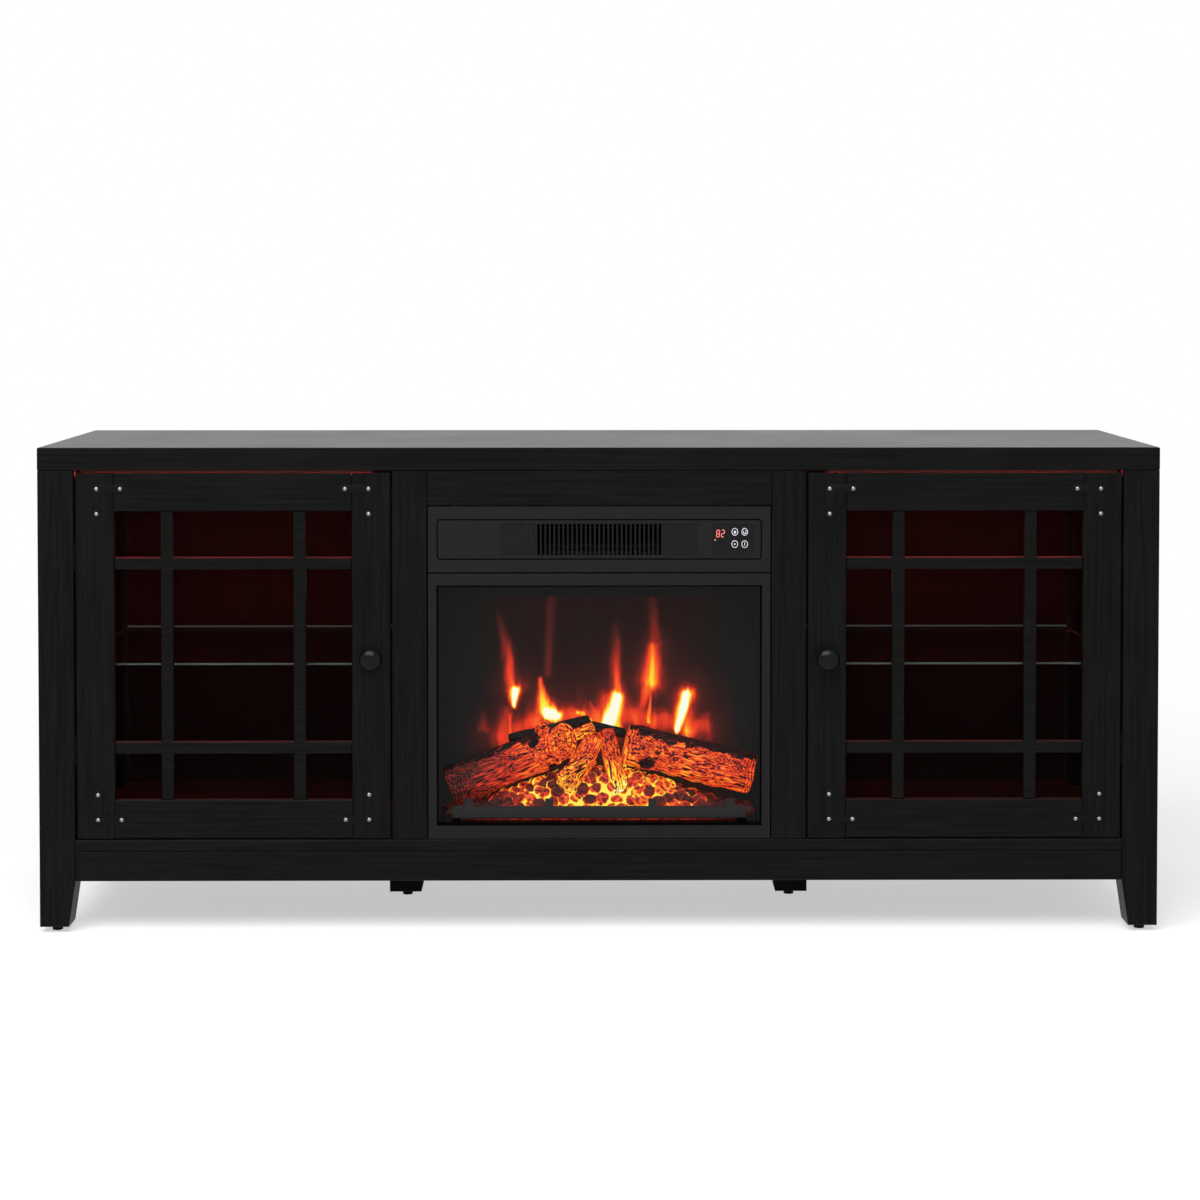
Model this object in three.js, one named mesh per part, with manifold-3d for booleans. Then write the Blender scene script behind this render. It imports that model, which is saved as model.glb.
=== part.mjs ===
// Media cabinet with an electric fireplace insert between two glazed doors.
// Millimetres, +Z up, the front faces -Y, and the origin lies on the floor under the middle of the box.

import * as THREE from 'three';
import { mergeVertices } from 'three/addons/utils/BufferGeometryUtils.js';
import Module from 'manifold-3d';

const wasm = await Module();
wasm.setup();

// Shared fits and finishes
const SEAT = 0.3;
const OVERRUN = 4;
const ARRIS = 1;
const ROUND_SIDES = 20;
const SMALL_ROUND_SIDES = 12;

// Cabinet
const CABINET_WIDTH = 1473;
const CABINET_DEPTH = 400;
const CABINET_HEIGHT = 640;
const TOP_THICKNESS = 30;
const FLOOR_CLEARANCE = 68.5;
const APRON_HEIGHT = 39.5;
const APRON_THICKNESS = 18;
const BOTTOM_THICKNESS = 15;
const PANEL_THICKNESS = 15;
const SIDE_PANEL_INSET = 8;
const BACK_THICKNESS = 5;
const STILE_WIDTH = 45.5;
const FACE_THICKNESS = 20;
const HEADER_HEIGHT = 46;
const CABLE_HOLE_DIAMETER = 40;
const CABLE_HOLE_INSET = 109;
const CABLE_HOLE_DROP = 190;

// Legs and feet
const LEG_WIDTH = 47;
const LEG_DEPTH = 45;
const LEG_TOE_WIDTH = 38;
const GLIDE_DIAMETER = 14;
const GLIDE_HEIGHT = 8;
const GLIDE_SHANK = 6;
const FOOT_SIDE = 47;
const FOOT_OFFSET = 267;
const FOOT_SETBACK = 215;
const FOOT_TAPER_WIDTH = 3;
const FOOT_TAPER_HEIGHT = 14;

// Glass shelf and its pins
const SHELF_HEIGHT = 349.5;
const SHELF_THICKNESS = 5;
const SHELF_END_GAP = 1;
const SHELF_SETBACK = 24;
const SHELF_PIN_DIAMETER = 5;
const SHELF_PIN_LENGTH = 8;
const SHELF_PIN_SETBACK = 33;

// Light strip under the top
const LIGHT_WIDTH = 12;
const LIGHT_HEIGHT = 8;
const LIGHT_LIP = 3;
const LIGHT_SETBACK = 30;
const LIGHT_LEG_GAP = 3;
const LIGHT_DIVIDER_GAP = 61;

// Doors
const DOOR_THICKNESS = 18;
const DOOR_SIDE_GAP = 2.4;
const DOOR_TOP_GAP = 3;
const DOOR_BOTTOM_GAP = 2;
const DOOR_FRAME_WIDTH = 50.4;
const DOOR_CHAMFER = 1.5;
const DOOR_GLASS_SETBACK = 12.5;
const DOOR_GLASS_THICKNESS = 3;
const DOOR_GLASS_PLAY = 1;
const REBATE_WIDTH = 8;
const MUNTIN_WIDTH = 16;
const MUNTIN_RECESS = 2;
const BORDER_PANE = 61;

// Knobs
const KNOB_DIAMETER = 29.5;
const KNOB_PROJECTION = 24;
const KNOB_NECK_DIAMETER = 12;
const KNOB_BASE_DIAMETER = 17;
const KNOB_HEIGHT = 238;
const KNOB_STEM_SHARES = [0, 0.1, 0.24, 0.44];
const KNOB_HEAD_SHARES = [[0.56, 0.72], [0.68, 0.97], [0.8, 1], [0.92, 0.84], [1, 0.46]];

// Two-pin concealed hinges, measured from the door's outer front edge
const HINGE_END = 112.5;
const CUP_DIAMETER = 35;
const CUP_EDGE = 5;
const CUP_BORE_DEPTH = 12.4;
const CUP_FLANGE_DIAMETER = 38;
const CUP_FLANGE_THICKNESS = 1;
const CUP_EAR_LENGTH = 58;
const CUP_EAR_WIDTH = 14;
const POCKET_INNER_WALL = 37.2;
const DOOR_PIN_EDGE = 9.8;
const DOOR_PIN_DEPTH = 9.8;
const ARM_PIN_EDGE = 30;
const ARM_PIN_DEPTH = 14;
const HINGE_PIN_DIAMETER = 2.5;
const HINGE_PIN_PLAY = 0.25;
const LINK_EYE_DIAMETER = 5.6;
const LINK_WEB = 2.8;
const LINK_HEIGHT = 6;
const LINK_PLAY = 0.4;
const LINK_SLOT_DEPTH = 10.4;
const ARM_HEIGHT = 12;
const ARM_PLAY = 0.6;
const ARM_PLATE_START = 22;
const ARM_PLATE_LENGTH = 21.5;
const ARM_PLATE_HEIGHT = 40;
const ARM_PLATE_THICKNESS = 1.6;
const ARM_RIDGE_RISE = 7.4;
const ARM_SHOULDER = 11;
const ARM_CRANK_START = 26;
const ARM_CRANK_THICKNESS = 3;

// Fireplace insert
const INSERT_OPENING_WIDTH = 453;
const INSERT_GAP = 0.8;
const INSERT_RECESS = 1;
const INSERT_DEPTH = 150;
const TRIM_THICKNESS = 12;
const FASCIA_HEIGHT = 88;
const SHEET = 1.5;

// Vent fascia
const GROOVE_WIDTH = 1.6;
const GROOVE_DEPTH = 1.2;
const GROOVE_CORNER = 4;
const GROOVE_END_MARGIN = 12.2;
const GROOVE_EDGE_MARGIN = 17.3;
const CONTROL_WIDTH = 52.8;
const CONTROL_THICKNESS = 2;
const CONTROL_END_MARGIN = 11.4;
const CONTROL_EDGE_MARGIN = 7.2;
const CONTROL_CORNER = 2;
const VENT_MARGIN = 18;
const BLIND_RIB_COUNT = 8;
const SLOT_PITCH = 5.9;
const SLOT_WIDTH = 4;
const SLOT_EDGE_MARGIN = 6.2;
const RIB_DEPTH = 1.6;

// Firebox
const WINDOW_SILL = 18.5;
const WINDOW_HEAD = 17.1;
const WINDOW_JAMB = 12.5;
const FIRE_GLASS_THICKNESS = 4;
const FIRE_GLASS_LAP = 6;
const SCREEN_THICKNESS = 3;
const SCREEN_SETBACK = 92;
const GRATE_SETBACK = 24;
const GRATE_END_INSET = 15.5;
const GRATE_BAR_HEIGHT = 15;
const GRATE_THICKNESS = 5;
const GRATE_LEG_HEIGHT = 22;
const GRATE_LEG_WIDTH = 12;
const GRATE_TAB_HEIGHT = 10;
const GRATE_TAB_WIDTH = 11;
const GRATE_TAB_SHARES = [-0.445, -0.17, 0.182, 0.447];
const BED_SETBACK = 32;
const BED_END_GAP = 14.2;
const BED_DEPTH = 54;
const BED_EDGE_HEIGHT = 30;
const BED_CROWN_HEIGHT = 80;
const BED_COAL_HEIGHT = 3;
const BED_LENGTH_STEPS = 36;
const BED_DEPTH_STEPS = 6;
const BED_COALS_ALONG = 17;
const BED_COALS_ACROSS = 3;
const BED_RISE_SHARE = 0.7;

// Logs: ends as shares of the bed's length and depth and the stack's height, radii as shares of the diameter
const LOG_STACK_HEIGHT = 150;
const LOG_DIAMETER = 56;
const LOG_SIDES = 12;
const LOG_RINGS = 6;
const LOG_BEND_SHARE = 0.03;
const LOG_LUMP = 1.6;
const LOG_LUMP_LENGTH = 11;
const LOG_SHARES = [
  { from: [-0.474, -0.019, 0.386], to: [-0.138, 0.056, 0.746], radii: [0.500, 0.482] },
  { from: [0.488, -0.019, 0.486], to: [0.086, 0.019, 0.766], radii: [0.491, 0.509] },
  { from: [-0.157, 0.185, 0.773], to: [-0.119, -0.259, 0.793], radii: [0.446, 0.482] },
  { from: [-0.286, 0.241, 0.793], to: [-0.031, 0.296, 0.946], radii: [0.116, 0.152] },
  { from: [-0.188, 0.315, 0.806], to: [-0.167, 0.13, 0.926], radii: [0.232, 0.196] },
  { from: [-0.081, 0.13, 0.833], to: [-0.019, 0.167, 0.899], radii: [0.161, 0.161] },
  { from: [-0.033, 0.241, 0.913], to: [0.081, 0.204, 0.839], radii: [0.116, 0.125] },
  { from: [-0.105, -0.167, 0.366], to: [-0.012, 0.13, 0.806], radii: [0.304, 0.250] },
  { from: [0.064, -0.167, 0.339], to: [0.024, 0.167, 0.873], radii: [0.250, 0.196] },
  { from: [-0.233, -0.13, 0.673], to: [-0.202, -0.389, 0.813], radii: [0.143, 0.107] },
  { from: [-0.124, -0.259, 0.473], to: [-0.019, -0.204, 0.646], radii: [0.196, 0.179] },
];

// Flicker drive behind the flame screen
const SPINDLE_DIAMETER = 6;
const SPINDLE_SETBACK = 120;
const SPINDLE_HEIGHT = 58;
const FLIPPER_SPAN = 30;
const FLIPPER_WIDTH = 12;
const FLIPPER_THICKNESS = 1;
const FLIPPER_COUNT = 17;
const FLIPPER_TWIST = 2.2;
const BEARING_DIAMETER = 14;
const BEARING_LENGTH = 8;
const BEARING_PLAY = 0.3;
const BEARING_FLOOR = 2;

// Blower in the heater bay
const BLOWER_DIAMETER = 46;
const BLOWER_LENGTH = 210;
const BLOWER_SETBACK = 78;
const BLADE_COUNT = 20;
const BLADE_CHORD = 8;
const BLADE_THICKNESS = 1;
const BLADE_STAGGER = 0.6;
const BLADE_SINK = 0.5;
const BLOWER_SIDE_GAP = 6;
const BLOWER_CHEEK_WIDTH = 26;
const INTAKE_ROWS = 2;
const INTAKE_COLUMNS = 14;
const INTAKE_WIDTH = 16;
const INTAKE_HEIGHT = 4;
const INTAKE_COLUMN_PITCH = 24;
const INTAKE_ROW_PITCH = 12;

// Places that follow from the sizes above
const FRONT = -(CABINET_DEPTH - KNOB_PROJECTION) / 2;
const BACK = FRONT + CABINET_DEPTH;
const TOP_UNDERSIDE = CABINET_HEIGHT - TOP_THICKNESS;
const BOTTOM_UNDERSIDE = FLOOR_CLEARANCE + APRON_HEIGHT;
const BOTTOM_TOP = BOTTOM_UNDERSIDE + BOTTOM_THICKNESS;
const LEG_INNER = CABINET_WIDTH / 2 - LEG_WIDTH;
const SIDE_INNER = CABINET_WIDTH / 2 - SIDE_PANEL_INSET - PANEL_THICKNESS;
const STILE_INNER = INSERT_OPENING_WIDTH / 2;
const STILE_OUTER = STILE_INNER + STILE_WIDTH;
const DIVIDER_OUTER = STILE_INNER + PANEL_THICKNESS;
const CARCASS_BACK = BACK - BACK_THICKNESS - SEAT;
const UPRIGHT_HEIGHT = TOP_UNDERSIDE - BOTTOM_TOP - 2 * SEAT;
const DOOR_WIDTH = LEG_INNER - STILE_OUTER - 2 * DOOR_SIDE_GAP;
const DOOR_HEIGHT = TOP_UNDERSIDE - BOTTOM_TOP - DOOR_TOP_GAP - DOOR_BOTTOM_GAP;
const DOOR_BASE = BOTTOM_TOP + DOOR_BOTTOM_GAP;
const LIGHT_OPENING_WIDTH = DOOR_WIDTH - 2 * DOOR_FRAME_WIDTH;
const LIGHT_OPENING_HEIGHT = DOOR_HEIGHT - 2 * DOOR_FRAME_WIDTH;
const HINGE_HEIGHTS = { upper: DOOR_HEIGHT - HINGE_END, lower: HINGE_END };
const CUP_CENTER = CUP_EDGE + CUP_DIAMETER / 2;
const LINK_SLOT_HEIGHT = LINK_HEIGHT + 2 * ARM_PLAY;
const INSERT_WIDTH = INSERT_OPENING_WIDTH - 2 * INSERT_GAP;
const INSERT_BASE = BOTTOM_TOP + SEAT;
const INSERT_TOP = TOP_UNDERSIDE - HEADER_HEIGHT - INSERT_GAP;
const INSERT_HEIGHT = INSERT_TOP - INSERT_BASE;
const INSERT_FRONT = FRONT + INSERT_RECESS;
const SHELL_FRONT = INSERT_FRONT + TRIM_THICKNESS + SEAT;
const SHELL_BACK = FRONT + INSERT_DEPTH - SHEET - SEAT;
const FRAME_HEIGHT = INSERT_HEIGHT - FASCIA_HEIGHT - SEAT;
const FASCIA_MIDDLE = INSERT_TOP - FASCIA_HEIGHT / 2;
const HEARTH = INSERT_BASE + SHEET;
const PARTITION_TOP = INSERT_BASE + FRAME_HEIGHT;
const SHELL_INNER_WIDTH = INSERT_WIDTH - 2 * SHEET;
const WINDOW_WIDTH = INSERT_WIDTH - 2 * WINDOW_JAMB;
const WINDOW_HEIGHT = FRAME_HEIGHT - WINDOW_SILL - WINDOW_HEAD;
const BED_LENGTH = SHELL_INNER_WIDTH - 2 * BED_END_GAP;
const GRATE_LENGTH = BED_LENGTH - 2 * GRATE_END_INSET;
const GROOVE_FRAME_WIDTH = INSERT_WIDTH - 2 * GROOVE_END_MARGIN;
const GROOVE_FRAME_HEIGHT = FASCIA_HEIGHT - 2 * GROOVE_EDGE_MARGIN;
const CONTROL_HEIGHT = GROOVE_FRAME_HEIGHT - 2 * CONTROL_EDGE_MARGIN;
const CONTROL_OFFSET = (GROOVE_FRAME_WIDTH - CONTROL_WIDTH) / 2 - CONTROL_END_MARGIN;
const VENT_HALF_LENGTH = CONTROL_OFFSET - CONTROL_WIDTH / 2 - VENT_MARGIN;
const SLOT_LENGTH = GROOVE_FRAME_HEIGHT - 2 * SLOT_EDGE_MARGIN;
const SLOT_COUNT = Math.floor(2 * VENT_HALF_LENGTH / SLOT_PITCH) - 2 * BLIND_RIB_COUNT;

// Colours
const BLACK_WOOD = 0x191919;
const BOARD_EDGE = 0x151515;
const NICKEL = 0xb4b6b8;
const BLACK_METAL = 0x1c1c1d;
const TRIM_GREY = 0x2a2a2b;
const CLEAR_GLASS = 0x2a2d2e;
const SHELF_GLASS = 0x9aa5a3;
const LIGHT_RED = 0xff3a2a;
const LOG_BROWN = 0x5a2413;
const EMBER_ORANGE = 0xd8501a;
const FLAME_ORANGE = 0xff7a1e;
const GALVANISED = 0x8b8e90;

function finish(color, roughness, metalness) {
  return new THREE.MeshStandardMaterial({ color, roughness, metalness });
}

const blackWood = () => finish(BLACK_WOOD, 0.5, 0);

// Outlines and solids

function outline(points) {
  return new THREE.Shape(points.map(([across, up]) => new THREE.Vector2(across, up)));
}

function rectangle(width, height) {
  return outline([
    [-width / 2, -height / 2],
    [width / 2, -height / 2],
    [width / 2, height / 2],
    [-width / 2, height / 2],
  ]);
}

function roundedRectangle(width, height, corner) {
  const shape = new THREE.Shape();
  const across = width / 2 - corner;
  const up = height / 2 - corner;
  shape.absarc(across, up, corner, 0, Math.PI / 2, false);
  shape.absarc(-across, up, corner, Math.PI / 2, Math.PI, false);
  shape.absarc(-across, -up, corner, Math.PI, 1.5 * Math.PI, false);
  shape.absarc(across, -up, corner, 1.5 * Math.PI, 2 * Math.PI, false);
  return shape;
}

// Extrudes upwards from z = 0, with an optional chamfer round both faces.
function extrude(shape, length, chamfer = 0, curveSegments = 4) {
  const geometry = new THREE.ExtrudeGeometry(shape, {
    depth: length - 2 * chamfer,
    bevelEnabled: chamfer > 0,
    bevelThickness: chamfer,
    bevelSize: chamfer,
    bevelOffset: -chamfer,
    bevelSegments: 1,
    curveSegments,
  });
  return geometry.translate(0, 0, chamfer);
}

// The outline's axes are X and Z, and the solid runs from y = 0 to y = length.
function alongY(shape, length, chamfer = 0, curveSegments = 4) {
  return extrude(shape, length, chamfer, curveSegments).rotateX(Math.PI / 2).translate(0, length, 0);
}

// The outline's axes are Y and Z, and the solid runs from x = 0 to x = length.
function alongX(shape, length, chamfer = 0) {
  return extrude(shape, length, chamfer).rotateX(Math.PI / 2).rotateZ(Math.PI / 2);
}

function block(width, depth, height) {
  return new THREE.BoxGeometry(width, depth, height);
}

// A block given by its two limits on each axis.
function span(xs, ys, zs) {
  const size = [xs, ys, zs].map(([a, b]) => Math.abs(b - a));
  const middle = [xs, ys, zs].map(([a, b]) => (a + b) / 2);
  return block(...size).translate(...middle);
}

function uprightRod(diameter, length, sides = SMALL_ROUND_SIDES) {
  return new THREE.CylinderGeometry(diameter / 2, diameter / 2, length, sides).rotateX(Math.PI / 2);
}

function crossRod(diameter, length, sides = SMALL_ROUND_SIDES) {
  return new THREE.CylinderGeometry(diameter / 2, diameter / 2, length, sides).rotateZ(Math.PI / 2);
}

function depthRod(diameter, length, sides = SMALL_ROUND_SIDES) {
  return new THREE.CylinderGeometry(diameter / 2, diameter / 2, length, sides);
}

function toSolid(geometry) {
  const bare = geometry.clone();
  bare.deleteAttribute('normal');
  bare.deleteAttribute('uv');
  const merged = mergeVertices(bare);
  return new wasm.Manifold(new wasm.Mesh({
    numProp: 3,
    vertProperties: new Float32Array(merged.attributes.position.array),
    triVerts: new Uint32Array(merged.index.array),
  }));
}

function toGeometry(solid) {
  const mesh = solid.getMesh();
  const geometry = new THREE.BufferGeometry();
  geometry.setAttribute('position', new THREE.BufferAttribute(new Float32Array(mesh.vertProperties), 3));
  geometry.setIndex(new THREE.BufferAttribute(new Uint32Array(mesh.triVerts), 1));
  geometry.computeVertexNormals();
  return geometry;
}

function join(first, ...others) {
  return toGeometry(others.reduce((whole, next) => whole.add(toSolid(next)), toSolid(first)));
}

function cut(first, ...tools) {
  return toGeometry(tools.reduce((whole, next) => whole.subtract(toSolid(next)), toSolid(first)));
}

const cabinet = new THREE.Group();

function place(parent, name, geometry, material, x = 0, y = 0, z = 0) {
  const mesh = new THREE.Mesh(geometry, material);
  mesh.name = name;
  mesh.position.set(x, y, z);
  parent.add(mesh);
  return mesh;
}

const SIDES = [['left', -1], ['right', 1]];

// Top panel: one board, flush with the outer faces of the legs
place(cabinet, 'top_panel',
  extrude(rectangle(CABINET_WIDTH, CABINET_DEPTH), TOP_THICKNESS, ARRIS), blackWood(),
  0, FRONT + CABINET_DEPTH / 2, TOP_UNDERSIDE);

// Legs: a square post that narrows on its inner side below the apron, on a nail-in glide
function legGeometry(side) {
  const height = TOP_UNDERSIDE - SEAT;
  const inner = -side;
  const profile = outline([
    [0, GLIDE_HEIGHT],
    [inner * LEG_TOE_WIDTH, GLIDE_HEIGHT],
    [inner * LEG_WIDTH, FLOOR_CLEARANCE],
    [inner * LEG_WIDTH, height],
    [0, height],
  ]);
  const glide = uprightRod(GLIDE_DIAMETER, GLIDE_HEIGHT + GLIDE_SHANK)
    .translate(inner * LEG_TOE_WIDTH / 2, LEG_DEPTH / 2, (GLIDE_HEIGHT + GLIDE_SHANK) / 2);
  return join(alongY(profile, LEG_DEPTH, ARRIS), glide, legShelfPin(inner));
}

// The shelf pin stands out from the leg's inner face, just under the glass.
function legShelfPin(inner) {
  const length = SHELF_PIN_LENGTH + OVERRUN;
  return crossRod(SHELF_PIN_DIAMETER, length)
    .translate(inner * (LEG_WIDTH + SHELF_PIN_LENGTH - length / 2), SHELF_PIN_SETBACK, shelfPinHeight());
}

function shelfPinHeight() {
  return SHELF_HEIGHT - SEAT - SHELF_PIN_DIAMETER / 2;
}

for (const [sideName, side] of SIDES) {
  const outer = side * CABINET_WIDTH / 2;
  place(cabinet, `${sideName}_front_leg`, legGeometry(side), blackWood(), outer, FRONT, 0);
  const rear = legGeometry(side).scale(1, -1, 1);
  turnInsideOut(rear);
  place(cabinet, `${sideName}_rear_leg`, rear, blackWood(), outer, BACK, 0);
}

// A mirrored mesh needs its triangles turned round again.
function turnInsideOut(geometry) {
  const index = geometry.index;
  for (let corner = 0; corner < index.count; corner += 3) {
    const second = index.getX(corner + 1);
    index.setX(corner + 1, index.getX(corner + 2));
    index.setX(corner + 2, second);
  }
  geometry.computeVertexNormals();
}

// Side panels between the legs, set in a little from their outer faces
for (const [sideName, side] of SIDES) {
  const depth = CABINET_DEPTH - 2 * LEG_DEPTH - 2 * SEAT;
  const height = TOP_UNDERSIDE - FLOOR_CLEARANCE - SEAT;
  place(cabinet, `${sideName}_side_panel`,
    alongX(rectangle(depth, height), PANEL_THICKNESS, ARRIS), blackWood(),
    side * (SIDE_INNER + PANEL_THICKNESS / 2) - PANEL_THICKNESS / 2,
    FRONT + CABINET_DEPTH / 2, FLOOR_CLEARANCE + height / 2);
}

// Bottom panel: notched round the four legs, its front edge in view above the apron
function bottomGeometry() {
  const narrow = LEG_INNER - SEAT;
  const wide = SIDE_INNER - SEAT;
  const frontNotch = FRONT + LEG_DEPTH + SEAT;
  const backNotch = BACK - LEG_DEPTH - SEAT;
  const right = [
    [narrow, FRONT],
    [narrow, frontNotch],
    [wide, frontNotch],
    [wide, backNotch],
    [narrow, backNotch],
    [narrow, CARCASS_BACK],
  ];
  const left = right.map(([x, y]) => [-x, y]).reverse();
  return extrude(outline([...right, ...left]), BOTTOM_THICKNESS, ARRIS);
}
place(cabinet, 'bottom_panel', bottomGeometry(), blackWood(), 0, 0, BOTTOM_UNDERSIDE);

// Apron under the bottom panel's front edge
const apronWidth = 2 * (LEG_INNER - SEAT);
const apronHeight = APRON_HEIGHT - SEAT;
place(cabinet, 'front_apron',
  alongY(rectangle(apronWidth, apronHeight), APRON_THICKNESS, ARRIS), blackWood(),
  0, FRONT, FLOOR_CLEARANCE + apronHeight / 2);

// Dividers: the walls of the insert bay, each with two shelf pins
function dividerGeometry(side) {
  const depth = CARCASS_BACK - FRONT - FACE_THICKNESS - SEAT;
  const wall = alongX(rectangle(depth, UPRIGHT_HEIGHT), PANEL_THICKNESS, ARRIS)
    .translate(-PANEL_THICKNESS / 2, FRONT + FACE_THICKNESS + SEAT + depth / 2, UPRIGHT_HEIGHT / 2);
  const length = SHELF_PIN_LENGTH + OVERRUN;
  const reach = side * (PANEL_THICKNESS / 2 + SHELF_PIN_LENGTH - length / 2);
  const pins = [FRONT + SHELF_PIN_SETBACK, BACK - SHELF_PIN_SETBACK].map((y) => (
    crossRod(SHELF_PIN_DIAMETER, length).translate(reach, y, shelfPinHeight() - BOTTOM_TOP - SEAT)
  ));
  return join(wall, ...pins);
}
for (const [sideName, side] of SIDES) {
  place(cabinet, `${sideName}_divider`, dividerGeometry(side), blackWood(),
    side * (STILE_INNER + PANEL_THICKNESS / 2), 0, BOTTOM_TOP + SEAT);
}

// Centre stiles and header rail: the face frame round the insert
for (const [sideName, side] of SIDES) {
  place(cabinet, `${sideName}_center_stile`,
    alongY(rectangle(STILE_WIDTH, UPRIGHT_HEIGHT), FACE_THICKNESS, ARRIS), blackWood(),
    side * (STILE_INNER + STILE_WIDTH / 2), FRONT, BOTTOM_TOP + SEAT + UPRIGHT_HEIGHT / 2);
}
const headerWidth = INSERT_OPENING_WIDTH - 2 * SEAT;
place(cabinet, 'header_rail',
  alongY(rectangle(headerWidth, HEADER_HEIGHT - SEAT), FACE_THICKNESS, ARRIS), blackWood(),
  0, FRONT, TOP_UNDERSIDE - SEAT - (HEADER_HEIGHT - SEAT) / 2);

// Back panels with a cable hole each; the bay behind the insert stays open
function backGeometry(side) {
  const width = LEG_INNER - STILE_INNER - SEAT;
  const height = TOP_UNDERSIDE - BOTTOM_UNDERSIDE - SEAT;
  const shape = rectangle(width, height);
  const hole = new THREE.Path();
  hole.absarc(
    side * (CABLE_HOLE_INSET - width / 2), height / 2 - CABLE_HOLE_DROP, CABLE_HOLE_DIAMETER / 2,
    0, 2 * Math.PI, false,
  );
  shape.holes.push(hole);
  return alongY(shape, BACK_THICKNESS, 0, SMALL_ROUND_SIDES);
}
for (const [sideName, side] of SIDES) {
  place(cabinet, `${sideName}_back_panel`, backGeometry(side), finish(BOARD_EDGE, 0.6, 0),
    side * (LEG_INNER - SEAT + STILE_INNER) / 2, BACK - BACK_THICKNESS,
    (TOP_UNDERSIDE - SEAT + BOTTOM_UNDERSIDE) / 2);
}

// Centre feet under the bottom panel
function footGeometry(side) {
  const height = BOTTOM_UNDERSIDE - SEAT;
  const profile = outline([
    [side * FOOT_SIDE / 2, GLIDE_HEIGHT],
    [side * FOOT_SIDE / 2, height],
    [-side * FOOT_SIDE / 2, height],
    [-side * FOOT_SIDE / 2, GLIDE_HEIGHT + FOOT_TAPER_HEIGHT],
    [-side * (FOOT_SIDE / 2 - FOOT_TAPER_WIDTH), GLIDE_HEIGHT],
  ]);
  const glide = uprightRod(GLIDE_DIAMETER, GLIDE_HEIGHT + GLIDE_SHANK)
    .translate(0, FOOT_SIDE / 2, (GLIDE_HEIGHT + GLIDE_SHANK) / 2);
  return join(alongY(profile, FOOT_SIDE, ARRIS), glide);
}
for (const [sideName, side] of SIDES) {
  place(cabinet, `${sideName}_center_foot`, footGeometry(side), blackWood(),
    side * FOOT_OFFSET, FRONT + FOOT_SETBACK - FOOT_SIDE / 2, 0);
}

// Glass shelves
const shelfWidth = LEG_INNER - DIVIDER_OUTER - 2 * SHELF_END_GAP;
const shelfDepth = CARCASS_BACK - FRONT - SHELF_SETBACK - SHELF_END_GAP;
for (const [sideName, side] of SIDES) {
  place(cabinet, `${sideName}_glass_shelf`,
    extrude(rectangle(shelfWidth, shelfDepth), SHELF_THICKNESS, ARRIS), finish(SHELF_GLASS, 0.1, 0),
    side * (LEG_INNER + DIVIDER_OUTER) / 2, FRONT + SHELF_SETBACK + shelfDepth / 2, SHELF_HEIGHT);
}

// Light strips: a channel with a domed diffuser under the top, behind the door's upper rail
function lightGeometry(length) {
  const half = LIGHT_WIDTH / 2;
  const profile = new THREE.Shape();
  profile.moveTo(-half, LIGHT_HEIGHT);
  profile.lineTo(-half, LIGHT_LIP);
  profile.quadraticCurveTo(-half, 0, 0, 0);
  profile.quadraticCurveTo(half, 0, half, LIGHT_LIP);
  profile.lineTo(half, LIGHT_HEIGHT);
  return alongX(profile, length);
}
const lightStart = DIVIDER_OUTER + LIGHT_DIVIDER_GAP;
const lightEnd = LEG_INNER - LIGHT_LEG_GAP;
for (const [sideName, side] of SIDES) {
  place(cabinet, `${sideName}_light_strip`, lightGeometry(lightEnd - lightStart), finish(LIGHT_RED, 0.4, 0),
    (side * (lightStart + lightEnd) - (lightEnd - lightStart)) / 2,
    FRONT + LIGHT_SETBACK + LIGHT_WIDTH / 2, TOP_UNDERSIDE - SEAT - LIGHT_HEIGHT);
}

// Door stiles, measured inwards from the door's outer edge: chamfered in front, rebated behind for the glass
function stileProfile(inner, start, width, chamfers) {
  const end = start + width;
  return outline([
    [inner * start, chamfers[0]],
    [inner * (start + chamfers[0]), 0],
    [inner * (end - chamfers[1]), 0],
    [inner * end, chamfers[1]],
    [inner * end, DOOR_THICKNESS],
    [inner * start, DOOR_THICKNESS],
  ]);
}

function stileRebate(inner, from, to) {
  return span(
    [inner * from, inner * to],
    [DOOR_GLASS_SETBACK, DOOR_THICKNESS + OVERRUN],
    [DOOR_FRAME_WIDTH - REBATE_WIDTH, DOOR_HEIGHT - DOOR_FRAME_WIDTH + REBATE_WIDTH],
  );
}

// The slot that lets a hinge link swing out past the door's back edge.
function linkSlot(inner, height) {
  return span(
    [-inner * OVERRUN, inner * CUP_CENTER],
    [DOOR_THICKNESS - LINK_SLOT_DEPTH, DOOR_THICKNESS + OVERRUN],
    [height - LINK_SLOT_HEIGHT / 2, height + LINK_SLOT_HEIGHT / 2],
  );
}

function hingeStileGeometry(inner) {
  const body = extrude(stileProfile(inner, 0, DOOR_FRAME_WIDTH, [DOOR_CHAMFER, ARRIS]), DOOR_HEIGHT);
  const rebate = stileRebate(inner, DOOR_FRAME_WIDTH - REBATE_WIDTH, DOOR_FRAME_WIDTH + OVERRUN);
  const cuts = [rebate];
  for (const height of Object.values(HINGE_HEIGHTS)) {
    const bore = depthRod(CUP_DIAMETER + 2 * SEAT, CUP_BORE_DEPTH + OVERRUN, ROUND_SIDES)
      .translate(inner * CUP_CENTER, DOOR_THICKNESS + (OVERRUN - CUP_BORE_DEPTH) / 2, height);
    cuts.push(bore, linkSlot(inner, height));
  }
  return cut(body, ...cuts);
}

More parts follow.
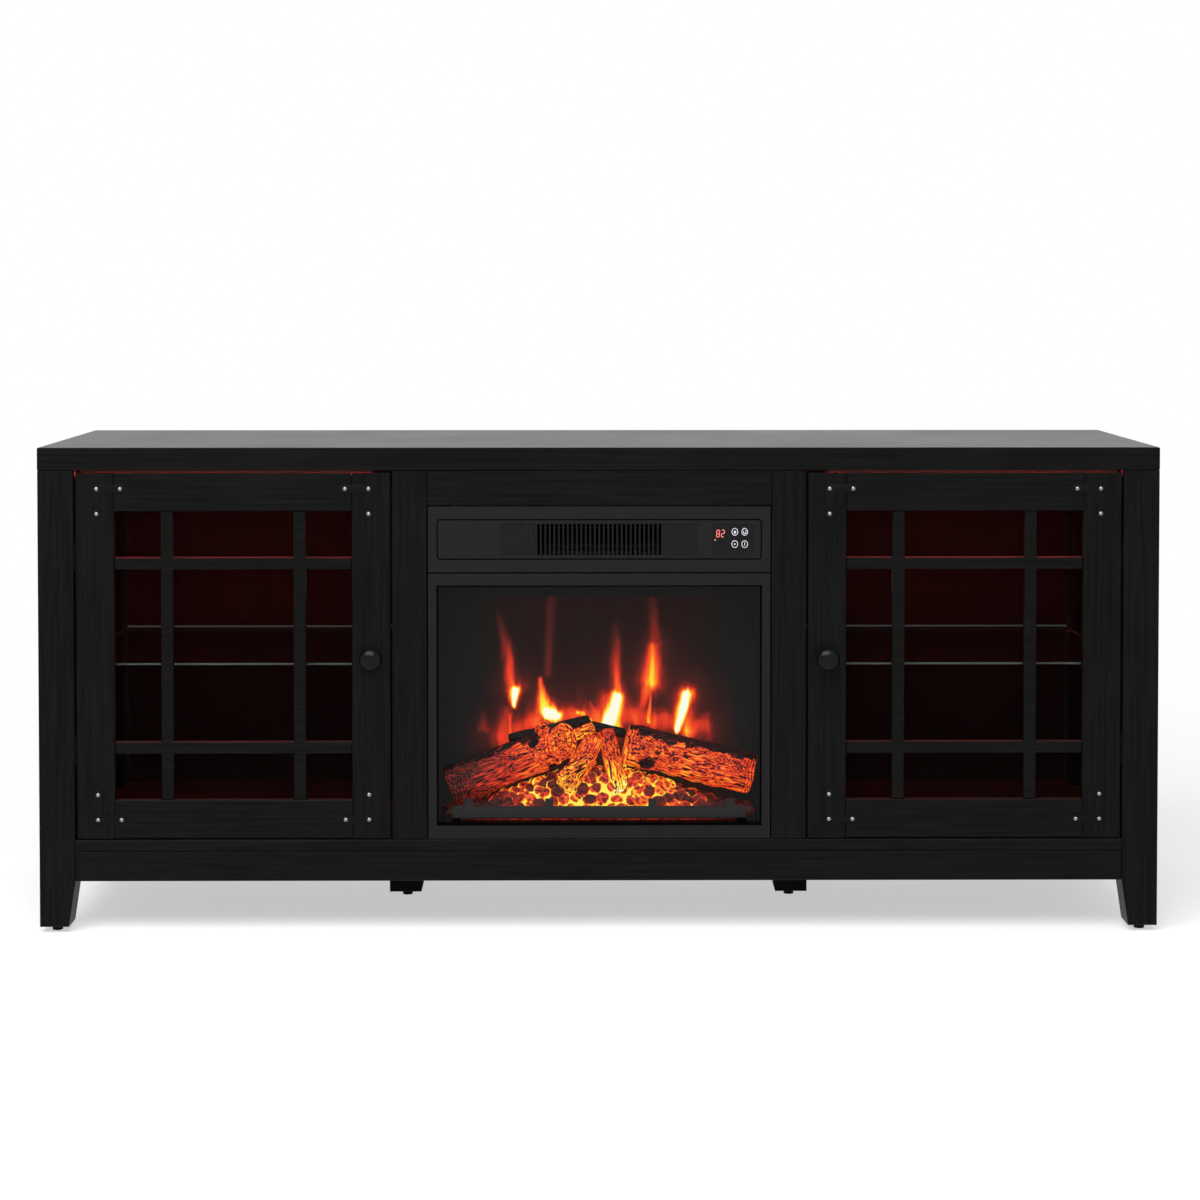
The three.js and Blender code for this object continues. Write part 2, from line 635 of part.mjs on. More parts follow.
function latchStileGeometry(inner) {
  const start = DOOR_WIDTH - DOOR_FRAME_WIDTH;
  const body = extrude(stileProfile(inner, start, DOOR_FRAME_WIDTH, [ARRIS, ARRIS]), DOOR_HEIGHT);
  return cut(body, stileRebate(inner, start - OVERRUN, start + REBATE_WIDTH));
}

// Rails run between the stiles. The rebate side is +1 for a rebate along the upper edge.
function railGeometry(inner, rebateSide) {
  const half = DOOR_FRAME_WIDTH / 2;
  const inside = rebateSide * half;
  const ledge = inside - rebateSide * REBATE_WIDTH;
  const profile = outline([
    [0, -inside + rebateSide * ARRIS],
    [ARRIS, -inside],
    [DOOR_THICKNESS, -inside],
    [DOOR_THICKNESS, ledge],
    [DOOR_GLASS_SETBACK, ledge],
    [DOOR_GLASS_SETBACK, inside],
    [ARRIS, inside],
    [0, inside - rebateSide * ARRIS],
  ]);
  const length = LIGHT_OPENING_WIDTH - 2 * SEAT;
  return alongX(profile, length).translate(inner * DOOR_WIDTH / 2 - length / 2, 0, 0);
}

// Muntins: one grid of two upright and two level bars in the door's opening
function muntinGeometry(inner) {
  const depth = DOOR_GLASS_SETBACK - MUNTIN_RECESS;
  const width = LIGHT_OPENING_WIDTH - 2 * SEAT;
  const height = LIGHT_OPENING_HEIGHT - 2 * SEAT;
  const acrossOffset = LIGHT_OPENING_WIDTH / 2 - BORDER_PANE - MUNTIN_WIDTH / 2;
  const upOffset = LIGHT_OPENING_HEIGHT / 2 - BORDER_PANE - MUNTIN_WIDTH / 2;
  const bars = [];
  for (const sign of [-1, 1]) {
    bars.push(alongY(rectangle(MUNTIN_WIDTH, height), depth, ARRIS).translate(sign * acrossOffset, 0, 0));
    bars.push(alongY(rectangle(width, MUNTIN_WIDTH), depth, ARRIS).translate(0, 0, sign * upOffset));
  }
  return join(...bars).translate(inner * DOOR_WIDTH / 2, MUNTIN_RECESS, DOOR_HEIGHT / 2);
}

function doorGlassGeometry(inner) {
  const lap = REBATE_WIDTH - DOOR_GLASS_PLAY;
  const pane = rectangle(LIGHT_OPENING_WIDTH + 2 * lap, LIGHT_OPENING_HEIGHT + 2 * lap);
  return alongY(pane, DOOR_GLASS_THICKNESS)
    .translate(inner * DOOR_WIDTH / 2, DOOR_GLASS_SETBACK + SEAT, DOOR_HEIGHT / 2);
}

// Mushroom knob, turned about the Y axis
function knobGeometry() {
  const reach = KNOB_PROJECTION - SEAT;
  const base = KNOB_BASE_DIAMETER / 2;
  const neck = KNOB_NECK_DIAMETER / 2;
  const stem = [base, base, neck, neck].map((radius, step) => [radius, KNOB_STEM_SHARES[step] * reach]);
  const head = KNOB_HEAD_SHARES.map(([rise, spread]) => [spread * KNOB_DIAMETER / 2, rise * reach]);
  const profile = [[0, 0], ...stem, ...head, [0, reach]];
  return new THREE.LatheGeometry(
    profile.map(([radius, rise]) => new THREE.Vector2(radius, rise)), ROUND_SIDES,
  ).rotateX(Math.PI);
}

// Hinge cup: a pressed pot with a flange and two ears, its pin across the pocket
const eyeClearance = LINK_EYE_DIAMETER / 2 + LINK_PLAY;
const pocketOuterWall = DOOR_PIN_EDGE - eyeClearance;
const pocketFloor = DOOR_PIN_DEPTH - eyeClearance;
const pocketHeight = ARM_HEIGHT + 2 * ARM_PLAY;

function cupGeometry(inner) {
  const mouth = DOOR_THICKNESS + SEAT + CUP_FLANGE_THICKNESS;
  const floor = DOOR_THICKNESS - CUP_BORE_DEPTH + SEAT;
  const pot = depthRod(CUP_DIAMETER, mouth - floor, ROUND_SIDES)
    .translate(inner * CUP_CENTER, (mouth + floor) / 2, 0);
  const flangeMiddle = mouth - CUP_FLANGE_THICKNESS / 2;
  const flange = depthRod(CUP_FLANGE_DIAMETER, CUP_FLANGE_THICKNESS, ROUND_SIDES)
    .translate(inner * CUP_CENTER, flangeMiddle, 0);
  const earShape = roundedRectangle(CUP_EAR_WIDTH, CUP_EAR_LENGTH, CUP_EAR_WIDTH / 2 - ARRIS);
  const ears = alongY(earShape, CUP_FLANGE_THICKNESS)
    .translate(inner * CUP_CENTER, mouth - CUP_FLANGE_THICKNESS, 0);
  const pocket = span(
    [inner * pocketOuterWall, inner * POCKET_INNER_WALL],
    [pocketFloor, mouth + OVERRUN],
    [-pocketHeight / 2, pocketHeight / 2],
  );
  const pin = uprightRod(HINGE_PIN_DIAMETER, pocketHeight + 2 * ARRIS)
    .translate(inner * DOOR_PIN_EDGE, DOOR_PIN_DEPTH, 0);
  return join(cut(join(pot, flange, ears), pocket, linkSlot(inner, 0)), pin);
}

// Hinge arm: a plate on the leg's inner face, a ridge, and a crank that ends in a fork with its pin
function armGeometry(inner) {
  const face = -DOOR_SIDE_GAP + SEAT;
  const plateTop = face + ARM_PLATE_THICKNESS;
  const end = ARM_PLATE_START + ARM_PLATE_LENGTH;
  const noseHalf = LINK_EYE_DIAMETER / 2;
  const profile = outline([
    [inner * face, ARM_PLATE_START],
    [inner * face, end],
    [inner * (face + ARM_RIDGE_RISE), end],
    [inner * (face + ARM_SHOULDER), end - ARM_SHOULDER],
    [inner * (ARM_PIN_EDGE - ARRIS), ARM_CRANK_START + ARM_CRANK_THICKNESS],
    [inner * (ARM_PIN_EDGE + noseHalf), ARM_CRANK_START],
    [inner * (ARM_PIN_EDGE + noseHalf), ARM_PIN_DEPTH],
    [inner * (ARM_PIN_EDGE - noseHalf), ARM_PIN_DEPTH],
    [inner * (ARM_PIN_EDGE - noseHalf), ARM_CRANK_START - ARM_CRANK_THICKNESS],
    [inner * (plateTop + ARM_SHOULDER), ARM_CRANK_START],
    [inner * plateTop, ARM_PLATE_START + ARM_CRANK_THICKNESS],
  ]);
  const ridge = extrude(profile, ARM_HEIGHT).translate(0, 0, -ARM_HEIGHT / 2);
  const nose = uprightRod(LINK_EYE_DIAMETER, ARM_HEIGHT, SMALL_ROUND_SIDES)
    .translate(inner * ARM_PIN_EDGE, ARM_PIN_DEPTH, 0);
  const plate = span(
    [inner * face, inner * plateTop],
    [ARM_PLATE_START, end],
    [-ARM_PLATE_HEIGHT / 2, ARM_PLATE_HEIGHT / 2],
  );
  const forkSlot = uprightRod(LINK_EYE_DIAMETER + 2 * ARM_PLAY, LINK_HEIGHT + ARM_PLAY)
    .translate(inner * ARM_PIN_EDGE, ARM_PIN_DEPTH, 0);
  const pin = uprightRod(HINGE_PIN_DIAMETER, ARM_HEIGHT)
    .translate(inner * ARM_PIN_EDGE, ARM_PIN_DEPTH, 0);
  return join(cut(join(ridge, nose, plate), forkSlot), pin);
}

// Hinge link: a flat bar with an eye round each pin
function linkGeometry(inner) {
  const across = DOOR_PIN_EDGE - ARM_PIN_EDGE;
  const along = DOOR_PIN_DEPTH - ARM_PIN_DEPTH;
  const length = Math.hypot(across, along);
  const web = block(length, LINK_WEB, LINK_HEIGHT)
    .rotateZ(Math.atan2(along, inner * across))
    .translate(inner * across / 2, along / 2, 0);
  const ends = [[0, 0], [inner * across, along]];
  const eyes = ends.map(([x, y]) => uprightRod(LINK_EYE_DIAMETER, LINK_HEIGHT).translate(x, y, 0));
  const bores = ends.map(([x, y]) => (
    uprightRod(HINGE_PIN_DIAMETER + 2 * HINGE_PIN_PLAY, LINK_HEIGHT + OVERRUN).translate(x, y, 0)
  ));
  return cut(join(web, ...eyes), ...bores);
}

for (const [sideName, side] of SIDES) {
  const inner = -side;
  const outerEdge = side * (LEG_INNER - DOOR_SIDE_GAP);

  const door = new THREE.Group();
  door.position.set(outerEdge, FRONT, DOOR_BASE);
  cabinet.add(door);
  place(door, `${sideName}_door_hinge_stile`, hingeStileGeometry(inner), blackWood());
  place(door, `${sideName}_door_latch_stile`, latchStileGeometry(inner), blackWood());
  place(door, `${sideName}_door_top_rail`, railGeometry(inner, -1), blackWood(),
    0, 0, DOOR_HEIGHT - DOOR_FRAME_WIDTH / 2);
  place(door, `${sideName}_door_bottom_rail`, railGeometry(inner, 1), blackWood(),
    0, 0, DOOR_FRAME_WIDTH / 2);
  place(door, `${sideName}_door_muntins`, muntinGeometry(inner), blackWood());
  place(door, `${sideName}_door_glass`, doorGlassGeometry(inner), finish(CLEAR_GLASS, 0.06, 0));
  place(door, `${sideName}_door_knob`, knobGeometry(), finish(BLACK_METAL, 0.35, 0.6),
    inner * (DOOR_WIDTH - DOOR_FRAME_WIDTH / 2), -SEAT, KNOB_HEIGHT);

  for (const [level, height] of Object.entries(HINGE_HEIGHTS)) {
    place(door, `${sideName}_${level}_hinge_cup`, cupGeometry(inner), finish(NICKEL, 0.3, 0.9), 0, 0, height);
    place(cabinet, `${sideName}_${level}_hinge_arm`, armGeometry(inner), finish(NICKEL, 0.3, 0.9),
      outerEdge, FRONT, DOOR_BASE + height);
    place(cabinet, `${sideName}_${level}_hinge_link`, linkGeometry(inner), finish(NICKEL, 0.35, 0.9),
      outerEdge + inner * ARM_PIN_EDGE, FRONT + ARM_PIN_DEPTH, DOOR_BASE + height);
  }
}

// Insert shell: a folded sheet tube, the heater bay above the firebox, with its bearings and blower cheeks
const blowerHeight = (PARTITION_TOP + INSERT_TOP - SHEET) / 2;
const spindleHeight = HEARTH + SPINDLE_HEIGHT;

function shellGeometry() {
  const depth = SHELL_BACK - SHELL_FRONT;
  const middle = (SHELL_FRONT + SHELL_BACK) / 2;
  const sheetShape = outline([
    [-INSERT_WIDTH / 2, INSERT_BASE],
    [INSERT_WIDTH / 2, INSERT_BASE],
    [INSERT_WIDTH / 2, INSERT_TOP],
    [-INSERT_WIDTH / 2, INSERT_TOP],
  ]);
  const half = SHELL_INNER_WIDTH / 2;
  for (const [low, high] of [[HEARTH, PARTITION_TOP - SHEET], [PARTITION_TOP, INSERT_TOP - SHEET]]) {
    const bay = new THREE.Path();
    bay.moveTo(-half, low);
    bay.lineTo(half, low);
    bay.lineTo(half, high);
    bay.lineTo(-half, high);
    sheetShape.holes.push(bay);
  }
  const tube = alongY(sheetShape, depth).translate(0, SHELL_FRONT, 0);
  const fittings = [];
  const bores = [];
  for (const sign of [-1, 1]) {
    fittings.push(crossRod(BEARING_DIAMETER, BEARING_LENGTH + SHEET)
      .translate(sign * (half + SHEET / 2 - BEARING_LENGTH / 2), FRONT + SPINDLE_SETBACK, spindleHeight));
    bores.push(crossRod(SPINDLE_DIAMETER + 2 * BEARING_PLAY, BEARING_LENGTH - BEARING_FLOOR + OVERRUN)
      .translate(sign * (half - BEARING_FLOOR - (BEARING_LENGTH - BEARING_FLOOR + OVERRUN) / 2),
        FRONT + SPINDLE_SETBACK, spindleHeight));
    const cheek = sign * (BLOWER_LENGTH / 2 + BLOWER_SIDE_GAP + SHEET / 2);
    fittings.push(block(SHEET, BLOWER_CHEEK_WIDTH, INSERT_TOP - PARTITION_TOP)
      .translate(cheek, FRONT + BLOWER_SETBACK, (INSERT_TOP + PARTITION_TOP - SHEET) / 2));
    bores.push(crossRod(SPINDLE_DIAMETER + 2 * BEARING_PLAY, SHEET + 2 * OVERRUN)
      .translate(cheek, FRONT + BLOWER_SETBACK, blowerHeight));
  }
  return cut(join(tube, ...fittings), ...bores).translate(0, -middle, 0);
}
place(cabinet, 'insert_shell', shellGeometry(), finish(GALVANISED, 0.5, 0.7),
  0, (SHELL_FRONT + SHELL_BACK) / 2, 0);

// Insert back plate with intake slots behind the blower
function backPlateGeometry() {
  const firstRow = blowerHeight - (INSERT_BASE + INSERT_TOP) / 2 - INTAKE_ROW_PITCH * (INTAKE_ROWS - 1) / 2;
  const firstColumn = -INTAKE_COLUMN_PITCH * (INTAKE_COLUMNS - 1) / 2;
  const slots = [];
  for (let row = 0; row < INTAKE_ROWS; row += 1) {
    for (let column = 0; column < INTAKE_COLUMNS; column += 1) {
      slots.push(block(INTAKE_WIDTH, SHEET + 2 * OVERRUN, INTAKE_HEIGHT).translate(
        firstColumn + column * INTAKE_COLUMN_PITCH,
        SHEET / 2,
        firstRow + row * INTAKE_ROW_PITCH,
      ));
    }
  }
  return cut(alongY(rectangle(INSERT_WIDTH, INSERT_HEIGHT), SHEET), ...slots);
}
place(cabinet, 'insert_back_plate', backPlateGeometry(), finish(GALVANISED, 0.5, 0.7),
  0, SHELL_BACK + SEAT, (INSERT_BASE + INSERT_TOP) / 2);

// Vent fascia: open slots in the middle, blind ribs on both sides, a groove round them and the control recess
function fasciaGeometry() {
  const slotX = (number) => (number - (SLOT_COUNT - 1) / 2) * SLOT_PITCH;
  const recesses = [];
  for (let number = 0; number < SLOT_COUNT; number += 1) {
    const slot = block(SLOT_WIDTH, 2 * (TRIM_THICKNESS + OVERRUN), SLOT_LENGTH);
    recesses.push(slot.translate(slotX(number), 0, 0));
  }
  for (let number = 0; number < BLIND_RIB_COUNT; number += 1) {
    for (const x of [slotX(-1 - number), slotX(SLOT_COUNT + number)]) {
      recesses.push(block(SLOT_WIDTH, RIB_DEPTH * 2, SLOT_LENGTH).translate(x, 0, 0));
    }
  }
  const grooveOuter = roundedRectangle(GROOVE_FRAME_WIDTH, GROOVE_FRAME_HEIGHT, GROOVE_CORNER);
  grooveOuter.holes.push(roundedRectangle(
    GROOVE_FRAME_WIDTH - 2 * GROOVE_WIDTH,
    GROOVE_FRAME_HEIGHT - 2 * GROOVE_WIDTH,
    GROOVE_CORNER - GROOVE_WIDTH,
  ));
  recesses.push(alongY(grooveOuter, GROOVE_DEPTH + OVERRUN).translate(0, -OVERRUN, 0));
  const controlDepth = CONTROL_THICKNESS + SEAT;
  const controlCorner = CONTROL_CORNER + SEAT;
  recesses.push(alongY(
    roundedRectangle(CONTROL_WIDTH + 2 * SEAT, CONTROL_HEIGHT + 2 * SEAT, controlCorner),
    controlDepth + OVERRUN,
  ).translate(CONTROL_OFFSET, -OVERRUN, 0));
  return cut(alongY(rectangle(INSERT_WIDTH, FASCIA_HEIGHT), TRIM_THICKNESS, ARRIS), ...recesses);
}
place(cabinet, 'vent_fascia', fasciaGeometry(), finish(TRIM_GREY, 0.45, 0.1), 0, INSERT_FRONT, FASCIA_MIDDLE);

// Control panel: a gloss overlay with a number display and four touch keys
place(cabinet, 'control_panel',
  alongY(roundedRectangle(CONTROL_WIDTH, CONTROL_HEIGHT, CONTROL_CORNER), CONTROL_THICKNESS),
  finish(BLACK_METAL, 0.1, 0), CONTROL_OFFSET, INSERT_FRONT, FASCIA_MIDDLE);

// Glass frame and front glass
function frameGeometry() {
  const shape = outline([
    [-INSERT_WIDTH / 2, 0],
    [INSERT_WIDTH / 2, 0],
    [INSERT_WIDTH / 2, FRAME_HEIGHT],
    [-INSERT_WIDTH / 2, FRAME_HEIGHT],
  ]);
  const opening = new THREE.Path();
  opening.moveTo(-WINDOW_WIDTH / 2, WINDOW_SILL);
  opening.lineTo(WINDOW_WIDTH / 2, WINDOW_SILL);
  opening.lineTo(WINDOW_WIDTH / 2, WINDOW_SILL + WINDOW_HEIGHT);
  opening.lineTo(-WINDOW_WIDTH / 2, WINDOW_SILL + WINDOW_HEIGHT);
  shape.holes.push(opening);
  return alongY(shape, TRIM_THICKNESS, ARRIS);
}
place(cabinet, 'glass_frame', frameGeometry(), finish(TRIM_GREY, 0.45, 0.1), 0, INSERT_FRONT, INSERT_BASE);

const glassShape = rectangle(WINDOW_WIDTH + 2 * FIRE_GLASS_LAP, WINDOW_HEIGHT + 2 * FIRE_GLASS_LAP);
place(cabinet, 'front_glass', alongY(glassShape, FIRE_GLASS_THICKNESS), finish(CLEAR_GLASS, 0.05, 0),
  0, SHELL_FRONT, INSERT_BASE + WINDOW_SILL + WINDOW_HEIGHT / 2);

// Flame screen: a translucent sheet across the firebox
const screenHeight = PARTITION_TOP - SHEET - HEARTH - 2 * SEAT;
place(cabinet, 'flame_screen',
  alongY(rectangle(SHELL_INNER_WIDTH - 2 * SEAT, screenHeight), SCREEN_THICKNESS),
  finish(FLAME_ORANGE, 0.4, 0), 0, FRONT + SCREEN_SETBACK, HEARTH + SEAT + screenHeight / 2);

// Grate bar: a level bar with four upstands on two short legs, cut from one plate
function grateGeometry() {
  const barMiddle = GRATE_LEG_HEIGHT + GRATE_BAR_HEIGHT / 2;
  const pieces = [block(GRATE_LENGTH, GRATE_THICKNESS, GRATE_BAR_HEIGHT).translate(0, 0, barMiddle)];
  for (const share of GRATE_TAB_SHARES) {
    pieces.push(block(GRATE_TAB_WIDTH, GRATE_THICKNESS, GRATE_TAB_HEIGHT * 2)
      .translate(share * GRATE_LENGTH, 0, GRATE_LEG_HEIGHT + GRATE_BAR_HEIGHT));
  }
  for (const sign of [-1, 1]) {
    pieces.push(block(GRATE_LEG_WIDTH, GRATE_THICKNESS, barMiddle)
      .translate(sign * (GRATE_LENGTH - GRATE_LEG_WIDTH) / 2, 0, barMiddle / 2));
  }
  return join(...pieces);
}
place(cabinet, 'grate_bar', grateGeometry(), finish(TRIM_GREY, 0.5, 0.2),
  0, FRONT + GRATE_SETBACK, HEARTH + SEAT);

// Logs: tapered rods with a bend and low lumps along the bark, moulded as one piece
const bedMiddle = BED_SETBACK + BED_DEPTH / 2;

function logPoint([lengthShare, depthShare, heightShare]) {
  return new THREE.Vector3(
    lengthShare * BED_LENGTH, depthShare * BED_DEPTH, heightShare * LOG_STACK_HEIGHT,
  );
}

function logGeometry({ from, to, radii }, grow = 0) {
  const start = logPoint(from);
  const end = logPoint(to);
  const direction = end.clone().sub(start);
  const length = direction.length();
  const [startRadius, endRadius] = radii.map((share) => share * LOG_DIAMETER);
  const rod = new THREE.CylinderGeometry(
    endRadius + grow, startRadius + grow, length + 2 * grow, LOG_SIDES, LOG_RINGS,
  );
  const position = rod.attributes.position;
  for (let corner = 0; corner < position.count; corner += 1) {
    const x = position.getX(corner);
    const y = position.getY(corner);
    const z = position.getZ(corner);
    const wave = Math.sin(y / LOG_LUMP_LENGTH) * Math.cos(3 * Math.atan2(z, x));
    const swell = 1 + LOG_LUMP * wave / startRadius;
    const bend = LOG_BEND_SHARE * length * Math.cos(Math.PI * y / length);
    position.setXYZ(corner, x * swell, y, z * swell + bend);
  }
  rod.applyQuaternion(new THREE.Quaternion().setFromUnitVectors(
    new THREE.Vector3(0, 1, 0), direction.normalize(),
  ));
  const middle = start.add(end).divideScalar(2);
  return rod.translate(middle.x, middle.y, middle.z);
}
place(cabinet, 'log_set',
  join(...LOG_SHARES.map((shares) => logGeometry(shares))), finish(LOG_BROWN, 0.9, 0),
  0, FRONT + bedMiddle, HEARTH + SEAT);

// Ember bed: a mound of coals that rises from the grate, hollowed where the logs lie in it
function bedHeight(acrossShare, depthShare) {
  const ridge = Math.cos(Math.PI * acrossShare) ** 2;
  const rise = Math.sin(Math.PI / 2 * Math.min(1, (depthShare + 0.5) / BED_RISE_SHARE));
  const along = Math.sin(Math.PI * BED_COALS_ALONG * acrossShare);
  const coals = along * Math.cos(Math.PI * BED_COALS_ACROSS * depthShare);
  return BED_EDGE_HEIGHT + (BED_CROWN_HEIGHT - BED_EDGE_HEIGHT) * ridge * rise + BED_COAL_HEIGHT * coals;
}

function bedGeometry() {
  const mound = new THREE.BoxGeometry(
    BED_LENGTH, BED_DEPTH, BED_EDGE_HEIGHT, BED_LENGTH_STEPS, BED_DEPTH_STEPS, 1,
  ).translate(0, 0, BED_EDGE_HEIGHT / 2);
  const position = mound.attributes.position;
  for (let corner = 0; corner < position.count; corner += 1) {
    if (position.getZ(corner) > BED_EDGE_HEIGHT / 2) {
      position.setZ(corner, bedHeight(position.getX(corner) / BED_LENGTH, position.getY(corner) / BED_DEPTH));
    }
  }
  return cut(mound, ...LOG_SHARES.map((shares) => logGeometry(shares, SEAT)));
}
place(cabinet, 'ember_bed', bedGeometry(), finish(EMBER_ORANGE, 0.8, 0),
  0, FRONT + bedMiddle, HEARTH + SEAT);

// Flicker spindle: a shaft with bright flippers set round it in a spiral
function spindleGeometry() {
  const reach = SHELL_INNER_WIDTH - 2 * BEARING_FLOOR - 2 * SEAT;
  const pieces = [crossRod(SPINDLE_DIAMETER, reach)];
  const run = SHELL_INNER_WIDTH - 2 * BEARING_LENGTH - 2 * FLIPPER_WIDTH;
  for (let number = 0; number < FLIPPER_COUNT; number += 1) {
    pieces.push(block(FLIPPER_WIDTH, FLIPPER_THICKNESS, FLIPPER_SPAN)
      .rotateX(number * FLIPPER_TWIST)
      .translate(run * (number / (FLIPPER_COUNT - 1) - 0.5), 0, 0));
  }
  return join(...pieces);
}
place(cabinet, 'flicker_spindle', spindleGeometry(), finish(NICKEL, 0.2, 0.95),
  0, FRONT + SPINDLE_SETBACK, spindleHeight);

// Blower wheel: forward-curved blades between two end discs, on its shaft
function blowerGeometry() {
  const pieces = [crossRod(SPINDLE_DIAMETER, BLOWER_LENGTH + 2 * (BLOWER_SIDE_GAP + SHEET + BEARING_FLOOR))];
  for (const sign of [-1, 1]) {
    pieces.push(crossRod(BLOWER_DIAMETER, SHEET, ROUND_SIDES)
      .translate(sign * (BLOWER_LENGTH - SHEET) / 2, 0, 0));
  }
  const seatRadius = BLOWER_DIAMETER / 2 - BLADE_CHORD / 2 - BLADE_SINK;
  for (let number = 0; number < BLADE_COUNT; number += 1) {
    pieces.push(block(BLOWER_LENGTH - SHEET, BLADE_THICKNESS, BLADE_CHORD)
      .rotateX(BLADE_STAGGER)
      .translate(0, 0, seatRadius)
      .rotateX(2 * Math.PI * number / BLADE_COUNT));
  }
  return join(...pieces);
}
place(cabinet, 'blower_wheel', blowerGeometry(), finish(BLACK_METAL, 0.5, 0.4),
  0, FRONT + BLOWER_SETBACK, blowerHeight);

export default cabinet;
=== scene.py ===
"""Finishes, fittings, fire and studio for the fireplace TV stand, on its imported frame."""
import math
import random
from functools import cached_property

import bmesh
import bpy
from bpy.props import FloatProperty, FloatVectorProperty, IntProperty, PointerProperty
from mathutils import Matrix, Vector, noise


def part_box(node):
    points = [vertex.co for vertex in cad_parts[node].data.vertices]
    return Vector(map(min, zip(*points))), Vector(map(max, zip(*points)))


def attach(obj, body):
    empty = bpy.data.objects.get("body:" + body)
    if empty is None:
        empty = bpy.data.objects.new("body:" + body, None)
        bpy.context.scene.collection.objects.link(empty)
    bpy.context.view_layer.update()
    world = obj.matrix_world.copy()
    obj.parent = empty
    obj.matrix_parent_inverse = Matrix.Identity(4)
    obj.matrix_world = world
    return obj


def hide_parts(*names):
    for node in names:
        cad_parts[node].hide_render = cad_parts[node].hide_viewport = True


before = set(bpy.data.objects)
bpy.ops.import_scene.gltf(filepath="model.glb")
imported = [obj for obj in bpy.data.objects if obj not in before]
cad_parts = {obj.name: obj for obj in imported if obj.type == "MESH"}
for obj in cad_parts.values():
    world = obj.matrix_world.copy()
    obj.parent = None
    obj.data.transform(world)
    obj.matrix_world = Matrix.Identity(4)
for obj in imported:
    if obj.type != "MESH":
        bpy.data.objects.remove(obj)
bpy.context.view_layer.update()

bl_info = {
    "name": "Fireplace TV stand dressing",
    "version": (1, 0, 0),
    "blender": (4, 5, 0),
    "location": "3D View > Sidebar > TV stand",
    "description": "Dresses the fireplace TV stand: wood, glass, fittings, fire and studio",
    "category": "Object",
}

MM = 0.001
SIDES = ("left", "right")
WHITE = (1.0, 1.0, 1.0, 1.0)
BLACK = (0.0, 0.0, 0.0, 1.0)


def both(*parts):
    """The nodes of the left and the right side whose names end in one of the parts."""
    return tuple(side + part for side in SIDES for part in parts)


# Nodes of the frame by finish and by the way that their grain runs
GRAIN_ACROSS = ("front_apron", "header_rail")
GRAIN_UP = both(
    "_side_panel", "_center_stile", "_center_foot", "_door_hinge_stile", "_door_latch_stile",
)
# Rails, muntins and the bottom panel: their upper sides get a painted reddish highlight of the
# strips' light
LEDGES = (*both("_door_top_rail", "_door_bottom_rail", "_door_muntins"), "bottom_panel")
HINGE_PARTS = both(*(
    f"_{level}_hinge_{part}" for level in ("upper", "lower") for part in ("cup", "arm", "link")
))

# Fire colours by heat: where on the ramp, then the colour
FIRE_STOPS = (
    (0.0, (0.0, 0.0, 0.0)), (0.16, (0.055, 0.006, 0.004)), (0.34, (0.26, 0.012, 0.006)),
    (0.52, (0.86, 0.045, 0.012)), (0.68, (1.0, 0.21, 0.012)), (0.82, (1.0, 0.72, 0.02)),
    (0.92, (1.0, 0.93, 0.14)), (1.0, (1.0, 1.0, 0.8)),
)

# Flame tongues on the screen: foot x and z, tip x and z, half-width at the foot and at the
# tip, all in millimetres, then the heat of the foot and of the tip
FLAMES = (
    (-117, 308, -134, 411, 5.2, 4.8, 0.72, 0.14),
    (-113, 286, -113, 306, 2.6, 6.2, 1.10, 1.16),
    (-125, 242, -123, 279, 15.5, 6.4, 0.60, 0.46),
    (-119, 242, -119, 273, 3.6, 2.8, 0.72, 0.60),
    (-131, 268, -132, 293, 5.7, 3.6, 0.36, 0.18),
    (-153, 257, -155, 279, 7.4, 3.3, 0.40, 0.20),
    (-69, 330, -65, 433, 5.2, 5.7, 0.30, 0.20),
    (-73, 281, -80, 319, 8.1, 2.4, 0.95, 0.60),
    (-70, 275, -58, 271, 8.4, 7.8, 1.16, 1.16),
    (-113, 242, -81, 268, 13.8, 12.1, 0.50, 0.55),
    (-42, 265, -43, 289, 6.4, 3.6, 0.42, 0.24),
    (-25, 276, -26, 311, 7.4, 4.8, 0.42, 0.20),
    (-29, 275, -22, 273, 4.5, 4.1, 0.90, 0.86),
    (-12, 269, -8, 264, 3.6, 3.3, 0.86, 0.80),
    (-2, 265, -10, 292, 8.1, 2.1, 0.62, 0.46),
    (26, 300, 22, 397, 6.9, 4.1, 0.72, 0.16),
    (13, 254, 24, 296, 9.0, 7.2, 1.14, 1.18),
    (24, 253, 25, 278, 5.7, 4.5, 0.86, 0.70),
    (3, 265, 12, 297, 8.9, 9.8, 0.58, 0.52),
    (39, 265, 39, 296, 7.4, 4.8, 0.58, 0.42),
    (77, 369, 75, 435, 6.1, 5.7, 0.44, 0.16),
    (71, 318, 75, 364, 10.2, 6.9, 0.90, 0.66),
    (56, 277, 69, 316, 4.5, 8.1, 0.50, 0.80),
    (69, 265, 69, 301, 3.3, 1.7, 0.86, 0.60),
    (52, 276, 50, 305, 4.8, 3.6, 0.36, 0.18),
    (107, 254, 117, 297, 4.4, 7.4, 1.12, 1.18),
    (123, 251, 124, 281, 9.8, 6.1, 0.78, 0.52),
    (102, 262, 107, 289, 5.2, 4.8, 0.52, 0.44),
    (119, 300, 120, 322, 6.1, 3.3, 0.40, 0.16),
    (143, 251, 146, 270, 11.4, 6.4, 0.48, 0.36),
    (136, 275, 137, 300, 3.6, 2.8, 0.32, 0.18),
    (-58, 272, 4, 268, 12.0, 14.0, 0.58, 0.62),
    (39, 272, 140, 256, 13.0, 12.0, 0.60, 0.56),
    (-124, 246, -84, 264, 12.0, 12.0, 0.50, 0.62),
)

